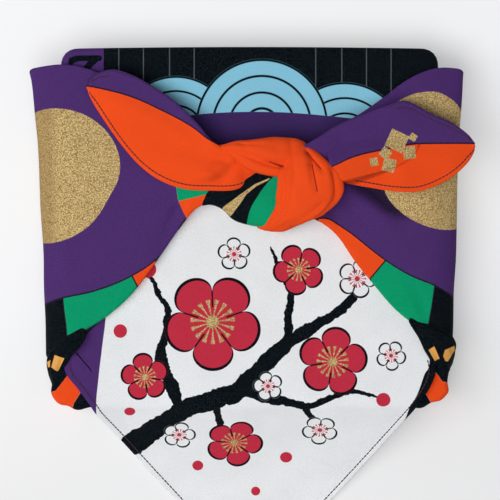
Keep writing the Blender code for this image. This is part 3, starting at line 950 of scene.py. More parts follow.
def ply_object(name, shape, print_name, flip=False, closed=False):
    """One ply of cloth whose middle runs through the grid, printed outside and paler inside."""
    grid, flat = shape
    rows, columns = grid.shape[:2]
    last = columns if closed else columns - 1
    start, across = np.arange(rows - 1)[:, None] * columns, np.arange(last)[None]
    corner, after = (start + across).ravel(), (start + (across + 1) % columns).ravel()
    faces = np.stack([corner, after, after + columns, corner + columns], axis=1)
    if flip:
        faces = faces[:, ::-1]
    mesh = bpy.data.meshes.new(name)
    mesh.from_pydata((grid.reshape(-1, 3) * MM).tolist(), [], faces.tolist())
    layer = mesh.uv_layers.new(name=UV_NAME)
    places = flat.reshape(-1, 2)[faces.ravel()] * MM
    layer.data.foreach_set("uv", places.astype(np.float32).ravel())
    mesh.materials.append(material_named(print_name))
    mesh.materials.append(material_named("cotton_reverse"))
    obj = add_object(name, mesh)
    ply = obj.modifiers.new("ply", "SOLIDIFY")
    ply.thickness = bpy.context.scene.furoshiki_sizes.ply
    ply.offset = 0.0
    ply.use_even_offset = True
    ply.material_offset = 1
    ply.material_offset_rim = 0
    bpy.context.view_layer.update()
    solid = bpy.data.meshes.new_from_object(obj.evaluated_get(bpy.context.evaluated_depsgraph_get()))
    obj.modifiers.clear()
    obj.data = solid
    solid.shade_smooth()
    obj[PART_OF_CLOTH] = True
    return obj


def stitch_lines():
    """Where hem stitches show: points on the cloth and the way out of it, for each hem."""
    lines = []
    grid, _ = flap_shape()
    normals = normals_of(grid, -1.0)
    first_row = np.argmax((grid[:, 0, 1] < -86.0) & (np.arange(len(grid)) > 20))
    last_row = len(grid) - 5
    for column in (STITCH_COLUMN, grid.shape[1] - 1 - STITCH_COLUMN):
        lines.append((grid[first_row:last_row, column], normals[first_row:last_row, column]))
    up = np.array([0.0, 0.0, 1.0])
    for name, upper_hem in UPPER_HEMS.items():
        grid, _ = end_shape(ENDS[name], upper_hem)
        lower = grid[3:, STITCH_COLUMN]
        lines.append((lower, np.broadcast_to(up, lower.shape)))
        rows = int(upper_hem * len(grid)) + 2
        upper = grid[3:rows, END_COLUMNS - STITCH_COLUMN]
        lines.append((upper, np.broadcast_to(up, upper.shape)))
    return lines


# Node helpers

class Value:
    """A socket to reckon with: arithmetic makes Math nodes, and & | ~ join masks or turn one round."""

    def __init__(self, socket):
        self.socket = socket
        self.tree = socket.id_data

    def __add__(self, other):
        return calc("ADD", self, other)

    def __sub__(self, other):
        return calc("SUBTRACT", self, other)

    def __rsub__(self, other):
        return calc("SUBTRACT", other, self)

    def __mul__(self, other):
        return calc("MULTIPLY", self, other)

    def __truediv__(self, other):
        return calc("DIVIDE", self, other)

    def __and__(self, other):
        return calc("MINIMUM", self, other)

    def __or__(self, other):
        return calc("MAXIMUM", self, other)

    def __invert__(self):
        return 1.0 - self


def put(value, socket):
    if isinstance(value, Value):
        value.tree.links.new(value.socket, socket)
    else:
        socket.default_value = value


def add_node(tree, kind, inputs, output=0, **settings):
    """Adds a node and gives one of its outputs."""
    node = tree.nodes.new(kind)
    for name, value in settings.items():
        setattr(node, name, value)
    for name, value in inputs.items():
        put(value, node.inputs[name])
    return Value(node.outputs[output])


def calc(operation, *values, clamp=False):
    tree = next(value.tree for value in values if isinstance(value, Value))
    return add_node(tree, "ShaderNodeMath", dict(enumerate(values)), operation=operation, use_clamp=clamp)


def vector_sum(operation, first, second):
    inputs = {0: first, "Scale" if operation == "SCALE" else 1: second}
    return add_node(first.tree, "ShaderNodeVectorMath", inputs, operation=operation)


def noise(place, scale, detail, roughness=0.5, output="Fac"):
    inputs = {"Vector": place, "Scale": scale, "Detail": detail, "Roughness": roughness}
    return add_node(place.tree, "ShaderNodeTexNoise", inputs, output)


def laid_over(under, over, mask):
    """The colour over where the mask is 1, and under where it is 0."""
    return add_node(mask.tree, "ShaderNodeMix", {0: mask, 6: under, 7: over}, 2, data_type="RGBA")


def any_of(masks):
    result, *others = masks
    for mask in others:
        result = result | mask
    return result


def above(value, limit, soft=0.25):
    """1 where the value is over the limit, with a soft step soft wide."""
    return calc("ADD", (value - limit) / soft, 0.5, clamp=True)


def band(value, middle, half, soft=0.25):
    return above(half, calc("ABSOLUTE", value - middle), soft)


def split(place):
    node = place.tree.nodes.new("ShaderNodeSeparateXYZ")
    put(place, node.inputs[0])
    return Value(node.outputs[0]), Value(node.outputs[1])


def placed(name, place, *values):
    """A shared effect at this place, as its outputs by name. The values are its other inputs in order."""
    node = place.tree.nodes.new("ShaderNodeGroup")
    node.node_tree = bpy.data.node_groups[name]
    for value, socket in zip((place, *values), node.inputs):
        put(value, socket)
    return {socket.name: Value(socket) for socket in node.outputs}


# Shared effects

def length_of(x, y):
    return calc("SQRT", x * x + y * y)


def left_of_line(place, x1, y1, x2, y2):
    x, y = split(place)
    way_x, way_y = x2 - x1, y2 - y1
    long = length_of(way_x, way_y)
    distance = (way_x * (y - y1) - way_y * (x - x1)) / long
    return above(distance, 0.0), distance


def round_spot(place, centre_x, centre_y, radius):
    x, y = split(place)
    away = length_of(x - centre_x, y - centre_y)
    return above(radius, away), away


def brush_stroke(place, x1, y1, x2, y2, start_width, end_width):
    x, y = split(place)
    way_x, way_y = x2 - x1, y2 - y1
    away_x, away_y = x - x1, y - y1
    long = way_x * way_x + way_y * way_y
    share = calc("DIVIDE", way_x * away_x + way_y * away_y, long, clamp=True)
    away = length_of(away_x - share * way_x, away_y - share * way_y)
    width = calc("MULTIPLY_ADD", share, end_width - start_width, start_width)
    return (above(width * 0.5, away),)


def plum_blossom(place, centre_x, centre_y, radius, turn):
    x, y = split(place)
    away_x, away_y = x - centre_x, y - centre_y
    away = length_of(away_x, away_y)
    angle = calc("ARCTAN2", away_y, away_x) + turn
    lobe = calc("ABSOLUTE", calc("COSINE", angle * 2.5))
    edge = calc("MULTIPLY_ADD", calc("POWER", lobe, 0.45), 0.40, 0.60)
    from_edge = (1.0 - away / (edge * radius)) * radius
    outer = above(from_edge, 0.0)
    inner = above(from_edge, calc("MULTIPLY_ADD", radius, 0.035, 0.9))
    centre = away / radius
    petal_gaps = above(0.5, lobe * away * 0.4) & above(centre, 0.30, 0.02)
    rays = calc("COSINE", angle * 15.0)
    filaments = above(rays, 0.55, 0.2) & above(0.40, centre, 0.02)
    tips = above(rays, 0.1, 0.2) & (above(centre, 0.38, 0.02) & above(0.45, centre, 0.02))
    heart = above(0.13, centre, 0.02)
    lines = ~inner | (petal_gaps & inner)
    return outer, outer & lines, outer & (filaments | (tips | heart))


def wave_scale(place, centre_x, centre_y, radius):
    spot = placed("round_spot", place, centre_x, centre_y, radius)
    share = spot["Distance"] / radius
    rings = ((0.985, 0.02), (0.74, 0.018), (0.49, 0.018), (0.25, 0.02))
    lines = any_of(band(share, ring, half, 0.01) for ring, half in rings)
    return spot["Mask"], spot["Mask"] & lines


def woven_cotton(place, pitch):
    """Plain weave: threads over and under one another, uneven as spun cotton is."""
    moved = vector_sum("MULTIPLY", noise(place, 0.35, 2.0, output="Color"), (0.9, 0.9, 0.0))
    across, along = (calc("SINE", value * math.pi / pitch) for value in split(vector_sum("ADD", place, moved)))
    over = across * along
    slub = noise(place, 1.6, 4.0, 0.7)
    return calc("MULTIPLY_ADD", over, 0.30, slub), calc("MULTIPLY_ADD", over, 0.12, slub + 0.5)


def dyed_cotton(place, colour, shade, unevenness):
    """Dyed cotton: faint clouding, paler thread tops and the grain of the weave in the colour."""
    cloud = noise(place, 0.045, 3.0)
    fine = noise(place, 0.9, 2.0, 0.6)
    change = calc("MULTIPLY_ADD", cloud - 0.5, 0.6, fine - 0.5)
    change = calc("MULTIPLY_ADD", shade - 1.0, 1.3, change)
    bright = calc("MULTIPLY_ADD", change, unevenness, 1.0)
    tinted = add_node(place.tree, "ShaderNodeHueSaturation", {"Value": bright, "Color": colour})
    bare = above(shade, 1.13, 0.08) * (unevenness * 0.5)
    return laid_over(tinted, (0.45, 0.46, 0.48, 1.0), bare), calc("MULTIPLY_ADD", fine, 0.12, 0.80)


def gold_print(place, gold, dark_gold):
    """Gold paint printed over the weave, broken where the thread tops show through."""
    grain = noise(place, 1.25, 3.0, 0.75)
    flakes = add_node(place.tree, "ShaderNodeTexVoronoi", {"Vector": place, "Scale": 1.0, "Randomness": 1.0})
    bright = above(grain * 1.1 + flakes * -0.35, 0.42, 0.38)
    sparkle = above(grain, 0.62, 0.08)
    return laid_over(laid_over(dark_gold, gold, bright), (0.80, 0.68, 0.38, 1.0), sparkle * 0.6), bright


EFFECTS = (
    # what works it out, inputs after the place, outputs
    (left_of_line, {"X1": 0.0, "Y1": 0.0, "X2": 1.0, "Y2": 0.0}, ("Mask", "Distance")),
    (round_spot, {"Centre X": 0.0, "Centre Y": 0.0, "Radius": 10.0}, ("Mask", "Distance")),
    (brush_stroke, {"X1": 0.0, "Y1": 0.0, "X2": 1.0, "Y2": 0.0, "Start Width": 4.0, "End Width": 2.0}, ("Mask",)),
    (plum_blossom, {"Centre X": 0.0, "Centre Y": 0.0, "Radius": 10.0, "Turn": 0.0}, ("Petals", "Outline", "Stamens")),
    (wave_scale, {"Centre X": 0.0, "Centre Y": 0.0, "Radius": 30.0}, ("Scale", "Lines")),
    (woven_cotton, {"Thread Pitch": 0.55}, ("Height", "Shade")),
    (dyed_cotton, {"Color": (0.5, 0.5, 0.5, 1.0), "Shade": 1.0, "Unevenness": 0.08}, ("Color", "Roughness")),
    (gold_print, {"Gold": (0.5, 0.4, 0.15, 1.0), "Dark Gold": (0.2, 0.15, 0.06, 1.0)}, ("Color", "Shine")),
)


def make_effects():
    """One node group for each shared effect."""
    number, colour = "NodeSocketFloat", "NodeSocketColor"
    for work, inputs, outputs in EFFECTS:
        tree = bpy.data.node_groups.new(work.__name__, "ShaderNodeTree")
        tree.interface.new_socket(name="Place", in_out="INPUT", socket_type="NodeSocketVector")
        for label, value in inputs.items():
            kind = colour if isinstance(value, tuple) else number
            tree.interface.new_socket(name=label, in_out="INPUT", socket_type=kind).default_value = value
        for label in outputs:
            kind = colour if label == "Color" else number
            tree.interface.new_socket(name=label, in_out="OUTPUT", socket_type=kind)
        given = tree.nodes.new("NodeGroupInput").outputs[: len(inputs) + 1]
        result = tree.nodes.new("NodeGroupOutput")
        for value, socket in zip(work(*map(Value, given)), result.inputs):
            put(value, socket)


# Prints

FLAP_BRANCHES = (
    # x1, y1, x2, y2, start width, end width
    (-76, -150, -44, -121, 17, 14),
    (-44, -121, -6, -106, 14, 12),
    (-6, -106, 24, -76, 12, 9),
    (24, -76, 60, -54, 9, 6.5),
    (60, -54, 88, -22, 6.5, 2.6),
    (-44, -121, -58, -86, 9, 6.5),
    (-58, -86, -52, -56, 6.5, 4.6),
    (-52, -56, -66, -30, 4.6, 2),
    (24, -76, 27, -42, 6.5, 4.5),
    (27, -42, 14, -14, 4.5, 2),
    (-6, -106, 36, -118, 8, 5.6),
    (36, -118, 66, -107, 5.6, 3.2),
    (66, -107, 86, -112, 3.2, 1.6),
    (36, -118, 48, -144, 4.6, 1.8),
    (-22, -113, -16, -150, 5.6, 2.2),
)

FLAP_BLOSSOMS = (
    # centre x, y, radius, turn, crimson
    (-24, -62, 32, 0.3, 1),
    (54, -88, 23, 1.1, 1),
    (-68, -98, 16, 0.8, 1),
    (-10, -148, 19, 0.1, 1),
    (32, -28, 17, 0.5, 1),
    (70, -34, 13, 0, 0),
    (-10, -18, 11, 0.9, 0),
    (46, -138, 12, 0.4, 0),
    (-46, -142, 11, 1.2, 0),
    (92, -84, 10, 0.2, 0),
    (12, -104, 10, 0.7, 0),
)

FLAP_BUDS = (
    # centre x, y, radius
    (-66, -28, 5.4), (88, -20, 5), (87, -113, 4.6), (-84, -68, 4.4), (24, -160, 4),
    (-34, -166, 3.6), (4, -184, 3), (-78, -122, 3.6),
)

WAVE_SCALES = (
    # centre x, y, radius
    (-48, 60, 38), (62, 54, 40), (8, 66, 43),
)

PINSTRIPES = (-85.0, -69.0, -52.0, -36.0, 43.0, 60.0, 76.0, 92.0)

# Lower edges of the purple band and of the dark band over the flap: x, y
PURPLE_BAND = ((-125.0, 30.0), (-60.0, 44.0), (0.0, 48.0), (60.0, 44.0), (125.0, 30.0))
DARK_BAND = ((-125.0, 60.0), (-60.0, 70.0), (0.0, 74.5), (60.0, 71.0), (125.0, 60.0))

# The dark line between the purple and the curtain stripes on each side wrap
LEFT_CURVE = (
    # x, y
    (-150, -54), (-133.6, -49.7), (-121.9, -46.5), (-99.1, -41.3), (-75.7, -31.5), (-59.5, -20),
    (-50.4, -8.4), (-43.5, 2.5), (-38, 9),
)
RIGHT_CURVE = (
    (44.5, 5.5), (50.7, 4.9), (56.6, 1.7), (66.3, -4.7), (77.1, -13.4), (87.3, -21.2), (104, -31.5),
    (120.6, -38.3), (133.4, -44.5), (160, -56),
)

# The gold discs of the side wraps: y with the middle's x there, and how far the right side is squeezed
DISCS = {
    "left": {
        "centre_y": 32.8,
        "radius": 43.8,
        "middles": ((-14.0, -134.0), (0.0, -133.6), (18.0, -132.8), (30.0, -129.0), (42.0, -126.8), (80.0, -126.2)),
        "squeezes": ((-14.0, 1.0), (80.0, 1.0)),
    },
    "right": {
        "centre_y": 42.6,
        "radius": 44.9,
        "middles": ((-4.0, 129.4), (40.0, 129.4), (48.0, 128.6), (84.0, 118.8), (90.0, 118.0)),
        "squeezes": ((-4.0, 1.0), (30.0, 1.0), (50.0, 1.33), (70.0, 1.65), (90.0, 1.65)),
    },
}

FAR_CORNER_STROKES = (
    # x1, y1, x2, y2, start width, end width
    (-97.8, 110.1, -120, 110.3, 3.8, 3.8),
    (-120, 110.3, -128, 104.6, 5, 5),
    (-100.6, 109, -108.4, 102, 4.5, 4.5),
)

# Where the white ground of the flap meets the purple on its left side and the black on its right one
LEFT_SIDE = ((-140.0, -98.0), (-121.0, -99.8), (-100.0, -98.3), (-80.0, -96.0), (-56.0, -93.3), (-20.0, -92.0))
RIGHT_SIDE = (
    # y, x
    (-140, 98), (-128, 101.6), (-117.5, 104.6), (-112, 107.8), (-107, 110), (-96.5, 113.6),
    (-88, 117), (-77, 114), (-60, 106), (-20, 100),
)

# Painted shade along a crease by the left near corner and in the gap under the left wrap's near edge: x1, y1, x2, y2,
# start width, end width
FLAP_FOLD_SHADES = (
    (-112.5, -82.4, -102.6, -94.1, 1.1, 0.7),
    (-106.4, -69.4, -92.4, -56, 1.9, 1.2),
)

# Painted shade down the deepest creases of the knot: x1, y1, x2, y2, start width, end width
KNOT_CREASE_SHADES = (
    (37.2, 47.1, 45.8, 36.9, 1.1, 1.1),
    (40.3, 39.2, 43.5, 22.6, 1.1, 0.9),
    (13.1, 41.6, 21.4, 38.5, 1.2, 2),
)

# The dark line along each free end: x, y
LEFT_END_LINE = (
    (-105, 91), (-94, 88.7), (-77.7, 84.2), (-58.2, 75.7), (-38.7, 65.3), (-22.4, 53.6), (10, 40),
)
RIGHT_END_LINE = (
    (40, 33), (55.6, 39.6), (68.6, 45.2), (88, 49.7), (105.6, 53), (125, 53.6), (150, 53.6),
)

# The edge of the green leaf shape under the knot: y, x
LEAF_EDGE = (
    (-6, -3), (3.7, -1.4), (10.9, 0.5), (18.7, 4.9), (26.6, 10.4), (31.7, 15.1), (38, 22),
)

# Small squares of gold leaf across the right end
LEAF_SQUARES = (
    # centre x, y, half diagonal, turn
    (95, 55, 8.6, 0.35),
    (103, 47.5, 5.6, 0.90),
    (87.5, 47, 4.6, 0.15),
    (90, 39.5, 5.8, 0.55),
    (80, 41.5, 3.6, 1.00),
    (105.5, 57.5, 3.2, 0.20),
)

GOLD_LINE = (
    # x, y, width
    (-14, 10.1, 7.5), (-6.2, 17.9, 4), (-3.1, 21.1, 2.4), (4.1, 26.6, 1.6), (12.7, 30.6, 1),
)

# Gold patches on the bunched corners, each outline anticlockwise
CORNER_GOLD = (
    [(-126.2, -83.5), (-128.7, -91.3), (-124.7, -94.4), (-120.0, -85.5)],
    [(-129.2, -86.6), (-131.4, -88.0), (-131.0, -91.6), (-129.6, -91.0)],
    [(119.6, -77.6), (116.0, -80.0), (120.2, -87.2), (123.5, -85.4)],
    [(132.8, -77.6), (126.8, -80.0), (125.6, -84.2), (128.0, -89.0), (133.4, -80.0)],
)

# The ring of gold discs on the underside: its radius, and theirs
UNDER_RING = 78.0
UNDER_DISC = 17.0

DYE_UNEVENNESS = 0.22

NEAR_BANDS = (
    # from, to, colour
    (-240.0, -130.0, "black"),
    (-130.0, -112.0, "orange"),
    (-112.0, -86.0, "black"),
    (86.0, 117.0, "black"),
    (117.0, 136.5, "orange"),
    (136.5, 240.0, "black"),
)


def colours():
    return bpy.context.scene.furoshiki_colours


def curve_value(u, points, low, high):
    """The height of a smooth curve through the points over u, both in millimetres."""
    first, last = points[0][0], points[-1][0]
    node = u.tree.nodes.new("ShaderNodeFloatCurve")
    put(calc("DIVIDE", u - first, last - first, clamp=True), node.inputs["Value"])
    curve = node.mapping.curves[0]
    places = [((x - first) / (last - first), (y - low) / (high - low)) for x, y in points]
    curve.points[0].location = places[0]
    curve.points[1].location = places[-1]
    for x, y in places[1:-1]:
        curve.points.new(x, y)
    node.mapping.update()
    return calc("MULTIPLY_ADD", Value(node.outputs[0]), high - low, low)


def left_of(place, *line):
    return placed("left_of_line", place, *line)["Mask"]


def line_band(place, *line, half):
    return band(placed("left_of_line", place, *line)["Distance"], 0.0, half)


def area(place, corners):
    """1 inside the convex outline whose corners run anticlockwise."""
    sides = zip(corners, corners[1:] + corners[:1])
    result, *others = [left_of(place, *start, *end) for start, end in sides]
    for mask in others:
        result = result & mask
    return result


def moved_by_noise(place, scale, distance, detail):
    """The place, moved by a noise up to half the distance, as a brush wanders."""
    away = vector_sum("SUBTRACT", noise(place, scale, detail, 0.6, "Color"), (0.5, 0.5, 0.5))
    return vector_sum("ADD", place, vector_sum("SCALE", away, distance))


def strokes(place, table):
    """1 on any of the table's brush strokes: x1, y1, x2, y2, start width, end width."""
    return any_of(placed("brush_stroke", place, *row)["Mask"] for row in table)


def pulled_disc(place, disc):
    """A round spot as the folds pull it: its middle wanders with y, and its right side is squeezed."""
    x, y = split(place)
    away = x - curve_value(y, disc["middles"], -150.0, 150.0)
    squeezed = away * curve_value(y, disc["squeezes"], 0.0, 2.0)
    moved = add_node(place.tree, "ShaderNodeCombineXYZ", {"X": away | squeezed, "Y": y})
    return placed("round_spot", moved, 0.0, disc["centre_y"], disc["radius"])["Mask"]


def gold_spot(place, colour, mask):
    gold = placed("gold_print", place, colours().gold, colours().dark_gold)
    return laid_over(colour, gold["Color"], mask), mask * gold["Shine"]


def paint_flap(place):
    """White ground with a plum branch, and over it waves, stripes and the purple and black sides, with painted shade
    along two folds.
    """
    own = colours()
    x, y = split(place)
    brushed = moved_by_noise(place, 0.11, 7.0, 4.0)
    colour = laid_over(own.white, own.black, strokes(brushed, FLAP_BRANCHES))
    for bud in FLAP_BUDS:
        colour = laid_over(colour, own.crimson, placed("round_spot", place, *bud)["Mask"])
    gilded = []
    for *shape, crimson in FLAP_BLOSSOMS:
        flower = placed("plum_blossom", place, *shape)
        colour = laid_over(colour, own.crimson if crimson else own.white, flower["Petals"])
        colour = laid_over(colour, own.black, flower["Outline"])
        if crimson:
            gilded.append(flower["Stamens"])
        else:
            colour = laid_over(colour, own.crimson, flower["Stamens"])
    colour, shine = gold_spot(place, colour, any_of(gilded))
    colour = laid_over(colour, own.dark_purple, above(y, curve_value(x, PURPLE_BAND, 20.0, 60.0)))
    sky = above(y, curve_value(x, DARK_BAND, 50.0, 90.0))
    colour = laid_over(colour, own.black, sky)
    for stripe in PINSTRIPES:
        line = sky & (band(x, stripe, 0.35) & above(y, 76.0))
        colour = laid_over(colour, own.pinstripe, line * 0.4)
    for scale in WAVE_SCALES:
        wave = placed("wave_scale", place, *scale)
        colour = laid_over(colour, own.light_blue, sky & wave["Scale"])
        colour = laid_over(colour, own.black, sky & wave["Lines"])
    corner = above(-94.8, x) & above(y, 88.0)
    colour = laid_over(colour, own.purple, corner)
    colour = laid_over(colour, own.black, corner & strokes(place, FAR_CORNER_STROKES))
    front = above(20.0, y)
    colour = laid_over(colour, own.purple, above(curve_value(y, LEFT_SIDE, -102.0, -90.0), x) & front)
    colour = laid_over(colour, own.black, above(x, curve_value(y, RIGHT_SIDE, 90.0, 120.0)) & front)
    # Painted shade in the outline colour along the folds
    return laid_over(colour, own.outline, strokes(place, FLAP_FOLD_SHADES)), shine


def curtain(place, below, colour_right, colour_left, first_line, second_line):
    """Purple, and where below is 1 three stripes of the curtain between two dark lines."""
    own = colours()
    stripes = laid_over(colour_right, colour_left, left_of(place, *first_line))
    stripes = laid_over(own.black, stripes, left_of(place, *second_line))
    dark = line_band(place, *first_line, half=0.5) | line_band(place, *second_line, half=0.4)
    return laid_over(own.purple, laid_over(stripes, own.outline, dark), below)


def paint_left_wrap(place):
    """Purple with a gold disc, painted shade on the disc where it turns down the left wall, and the curtain stripes
    below a dark line.
    """
    own = colours()
    x, y = split(place)
    curve = curve_value(x, LEFT_CURVE, -60.0, 45.0)
    lines = (-72.6, -39.0, -76.6, -31.5), (-122.2, -40.0, -118.0, -75.0)
    colour = curtain(place, above(curve, y), own.orange, own.green, *lines)
    lower_edge = left_of(place, -46.3, 16.3, -41.3, 6.1)
    neck = lower_edge & left_of(place, -47.5, 25.8, -46.3, 16.3) & above(y, 3.0)
    colour = laid_over(colour, own.orange, neck)
    colour = laid_over(colour, own.green, neck & left_of(place, -46.3, 16.3, -26.7, 21.1))
    colour = laid_over(colour, own.black, neck & left_of(place, -26.7, 21.1, -31.0, 14.4))
    colour = laid_over(colour, own.outline, band(y, curve, 0.55) & above(-41.5, x))
    disc = pulled_disc(place, DISCS["left"])
    colour, shine = gold_spot(place, colour, disc)
    # Painted shade: dark gold over the disc where it turns down the left wall
    return laid_over(colour, own.dark_gold, disc * (above(-127.5, x, 6.0) * 0.45)), shine


def paint_right_wrap(place):
    """Purple with a gold disc, the curtain stripes below a dark line, and painted shade down the valley beside the
    knot.
    """
    own = colours()
    x, y = split(place)
    curve = curve_value(x, RIGHT_CURVE, -50.0, 20.0)
    lines = (79.0, -33.0, 88.2, -22.0), (113.5, -80.0, 122.1, -30.0)
    colour = curtain(place, above(curve, y), own.green, own.orange, *lines)
    colour = laid_over(colour, own.outline, band(y, curve, 0.55))
    # Painted shade: dark purple down the valley under the right end, beside the knot
    valley = placed("left_of_line", place, 66.0, 27.5, 94.0, 3.0)["Distance"]
    valley_shade = above(valley, 0.5, 6.0) * above(y, 6.0, 7.0) * (above(112.0, x, 16.0) * 0.85)
    colour = laid_over(colour, own.deep_purple, valley_shade * above(36.0, y, 6.0))
    return gold_spot(place, colour, pulled_disc(place, DISCS["right"]))


def paint_end(place, points, low, high):
    """Purple above a dark line, orange below it."""
    own = colours()
    x, y = split(place)
    curve = curve_value(x, points, low, high)
    colour = laid_over(own.orange, own.purple, above(y, curve))
    return laid_over(colour, own.outline, band(y, curve, 0.5))


def paint_left_end(place):
    return paint_end(place, LEFT_END_LINE, 35.0, 95.0), None


def paint_right_end(place):
    """The end's two colours with painted shadow under the tuck, and small squares of gold leaf across them."""
    colour = paint_end(place, RIGHT_END_LINE, 30.0, 60.0)
    # Painted shadow: darker orange under the fold edge of the tuck
    shade = strokes(place, [(62.0, 27.5, 93.0, 37.2, 5.0, 1.2)]) * 0.4
    colour = laid_over(colour, colours().deep_orange, shade)
    squares = []
    for x, y, half, turn in LEAF_SQUARES:
        cosine, sine = half * math.cos(turn), half * math.sin(turn)
        corners = [(x + cosine, y + sine), (x - sine, y + cosine), (x - cosine, y - sine), (x + sine, y - cosine)]
        squares.append(area(place, corners))
    return gold_spot(place, colour, any_of(squares))


def paint_orange(place):
    """Orange, with painted shade down the deepest creases of the knot."""
    # Painted shade: darker orange along the knot's creases
    return laid_over(colours().orange, colours().deep_orange, strokes(place, KNOT_CREASE_SHADES) * 0.8), None


def paint_under_strand(place):
    """Black with a thin gold line and a green leaf shape where it passes under the knot."""
    own = colours()
    x, y = split(place)
    colour = laid_over(own.black, own.green, above(x, curve_value(y, LEAF_EDGE, -6.0, 24.0)))
    steps = zip(GOLD_LINE, GOLD_LINE[1:])
    rows = [(*start[:2], *end[:2], start[2], end[2]) for start, end in steps]
    return gold_spot(place, colour, strokes(place, rows))


def paint_corner(place):
    """Black with small gold patches, as the bunched corners show."""
    leaf = any_of(area(place, corners) for corners in CORNER_GOLD)
    return laid_over(colours().black, colours().amber, leaf), None


def paint_near_wall(place):
    """Black and orange bands round the near corners, white ground between them."""
    x, y = split(place)
    across = x * calc("MULTIPLY_ADD", y, -0.0012, 0.82)
    colour = colours().white
    for start, end, name in NEAR_BANDS:
        colour = laid_over(colour, getattr(colours(), name), above(across, start) & above(end, across))
    return colour, None


def paint_underside(place):
    """Purple ground with a ring of gold discs round the middle of the cloth."""
    turns = [math.radians(22.5 + 45.0 * step) for step in range(8)]
    middles = [(UNDER_RING * math.cos(turn), UNDER_RING * math.sin(turn)) for turn in turns]
    discs = any_of(placed("round_spot", place, *middle, UNDER_DISC)["Mask"] for middle in middles)
    return gold_spot(place, colours().purple, discs)


def paint_reverse(place):
    """The unprinted side, a pale cotton that the dyes have just reached."""
    return colours().reverse, None


PRINTS = {
    "flap_print": paint_flap,
    "left_wrap_print": paint_left_wrap,
    "right_wrap_print": paint_right_wrap,
    "left_end_print": paint_left_end,
    "right_end_print": paint_right_end,
    "knot_print": paint_orange,
    "under_strand_print": paint_under_strand,
    "corner_print": paint_corner,
    "near_wall_print": paint_near_wall,
    "underside_print": paint_underside,
    "cotton_reverse": paint_reverse,
}


def new_material(name, source, output, **settings):
    """A material, its Principled shader's inputs and the place on it in millimetres."""
    material = bpy.data.materials.new(name)
    material.use_nodes = True
    tree = material.node_tree
    place = vector_sum("SCALE", add_node(tree, source, {}, output, **settings), 1.0 / MM)
    return material, tree.nodes["Principled BSDF"].inputs, place


def material_named(name):
    """The printed cotton of that name, built when it is first asked for."""
    if name in bpy.data.materials:
        return bpy.data.materials[name]
    material, shader, place = new_material(name, "ShaderNodeUVMap", 0, uv_map=UV_NAME)
    weave = placed("woven_cotton", place)
    colour, shine = PRINTS[name](place)
    dyed = placed("dyed_cotton", place, colour, weave["Shade"], DYE_UNEVENNESS)
    put(dyed["Color"], shader["Base Color"])
    roughness = dyed["Roughness"]
    if shine is not None:
        roughness = calc("MULTIPLY_ADD", shine, -0.32, roughness)
        put(shine * 0.35, shader["Metallic"])
    put(roughness, shader["Roughness"])
    shader["Sheen Weight"].default_value = 0.02
    shader["Sheen Roughness"].default_value = 0.5
    shader["Specular IOR Level"].default_value = 0.04
    bump = {"Strength": 0.5, "Distance": 0.0003, "Height": weave["Height"]}
    put(add_node(place.tree, "ShaderNodeBump", bump), shader["Normal"])
    return material


def plain_material(name, colour, roughness):
    """A plain surface with a slight grain, and its shader's inputs."""
    material, shader, place = new_material(name, "ShaderNodeTexCoord", "Object")
    put(placed("dyed_cotton", place, colour, 1.0, 0.02)["Color"], shader["Base Color"])
    shader["Roughness"].default_value = roughness
    return material, shader


# Pieces

def number(name, description, default, **limits):
    return bpy.props.FloatProperty(name=name, description=description, default=default, **limits)


class FuroshikiSizes(bpy.types.PropertyGroup):
    ply: number("Ply", "Thickness of one ply of the cotton", 0.0009, unit="LENGTH")
    side: number("Side", "Side of the square that the cloth was cut to", 0.70, unit="LENGTH")
    stitch_pitch: number("Stitch pitch", "From one hem stitch to the next", 0.0026, unit="LENGTH")
    stitch_length: number("Stitch length", "Length of one hem stitch", 0.00258, unit="LENGTH")
    stitch_width: number("Stitch width", "Width of the sewing thread", 0.0009, unit="LENGTH")


def srgb(red, green, blue):
    """A colour given as a screen shows it, as Blender's own linear numbers."""
    linear = []
    for value in (red, green, blue):
        share = value / 255.0
        linear.append(share / 12.92 if share <= 0.04045 else ((share + 0.055) / 1.055) ** 2.4)
    return (*linear, 1.0)


def colour_property(name, description, red, green, blue):
    return bpy.props.FloatVectorProperty(
        name=name, description=description, default=srgb(red, green, blue), subtype="COLOR", size=4, min=0.0, max=1.0
    )


class FuroshikiColours(bpy.types.PropertyGroup):
    white: colour_property("White", "Bleached ground of the flap", 234, 236, 238)
    purple: colour_property("Purple", "Ground of the side wraps", 75, 44, 107)
    dark_purple: colour_property("Dark purple", "Band between the waves and the knot", 60, 38, 94)
    orange: colour_property("Orange", "Knot, ends and first curtain stripe", 238, 76, 22)
    green: colour_property("Green", "Second curtain stripe", 0, 152, 104)
    black: colour_property("Black", "Blue-black of the stripes and branches", 0, 9, 16)
    # Also painted shade along two folds of the flap
    outline: colour_property("Outline", "Fine line between two colours", 34, 22, 44)
    gold: colour_property("Gold", "Gold print on top of the threads", 238, 212, 148)
    # Also painted shade on the left disc where it turns down the wall
    dark_gold: colour_property("Dark gold", "Gold print between the threads", 148, 116, 70)
    amber: colour_property("Amber", "Small patches of the bunched corners", 228, 166, 86)
    # Painted shade down the valley beside the knot, under the right end
    deep_purple: colour_property("Deep purple", "Down the valley beside the knot", 24, 14, 36)
    # Painted shade down the deepest creases of the knot and under the tuck of the right end
    deep_orange: colour_property("Deep orange", "Down the deepest creases of the knot", 110, 30, 24)
    light_blue: colour_property("Light blue", "Ground of the waves", 134, 198, 222)
    crimson: colour_property("Crimson", "Petals of the large blossoms", 192, 44, 66)
    pinstripe: colour_property("Pinstripe", "Fine lines on the far band", 120, 132, 140)
    thread: colour_property("Thread", "Sewing thread of the hem", 56, 20, 34)
    reverse: colour_property("Reverse", "Unprinted side of the cotton", 206, 196, 200)


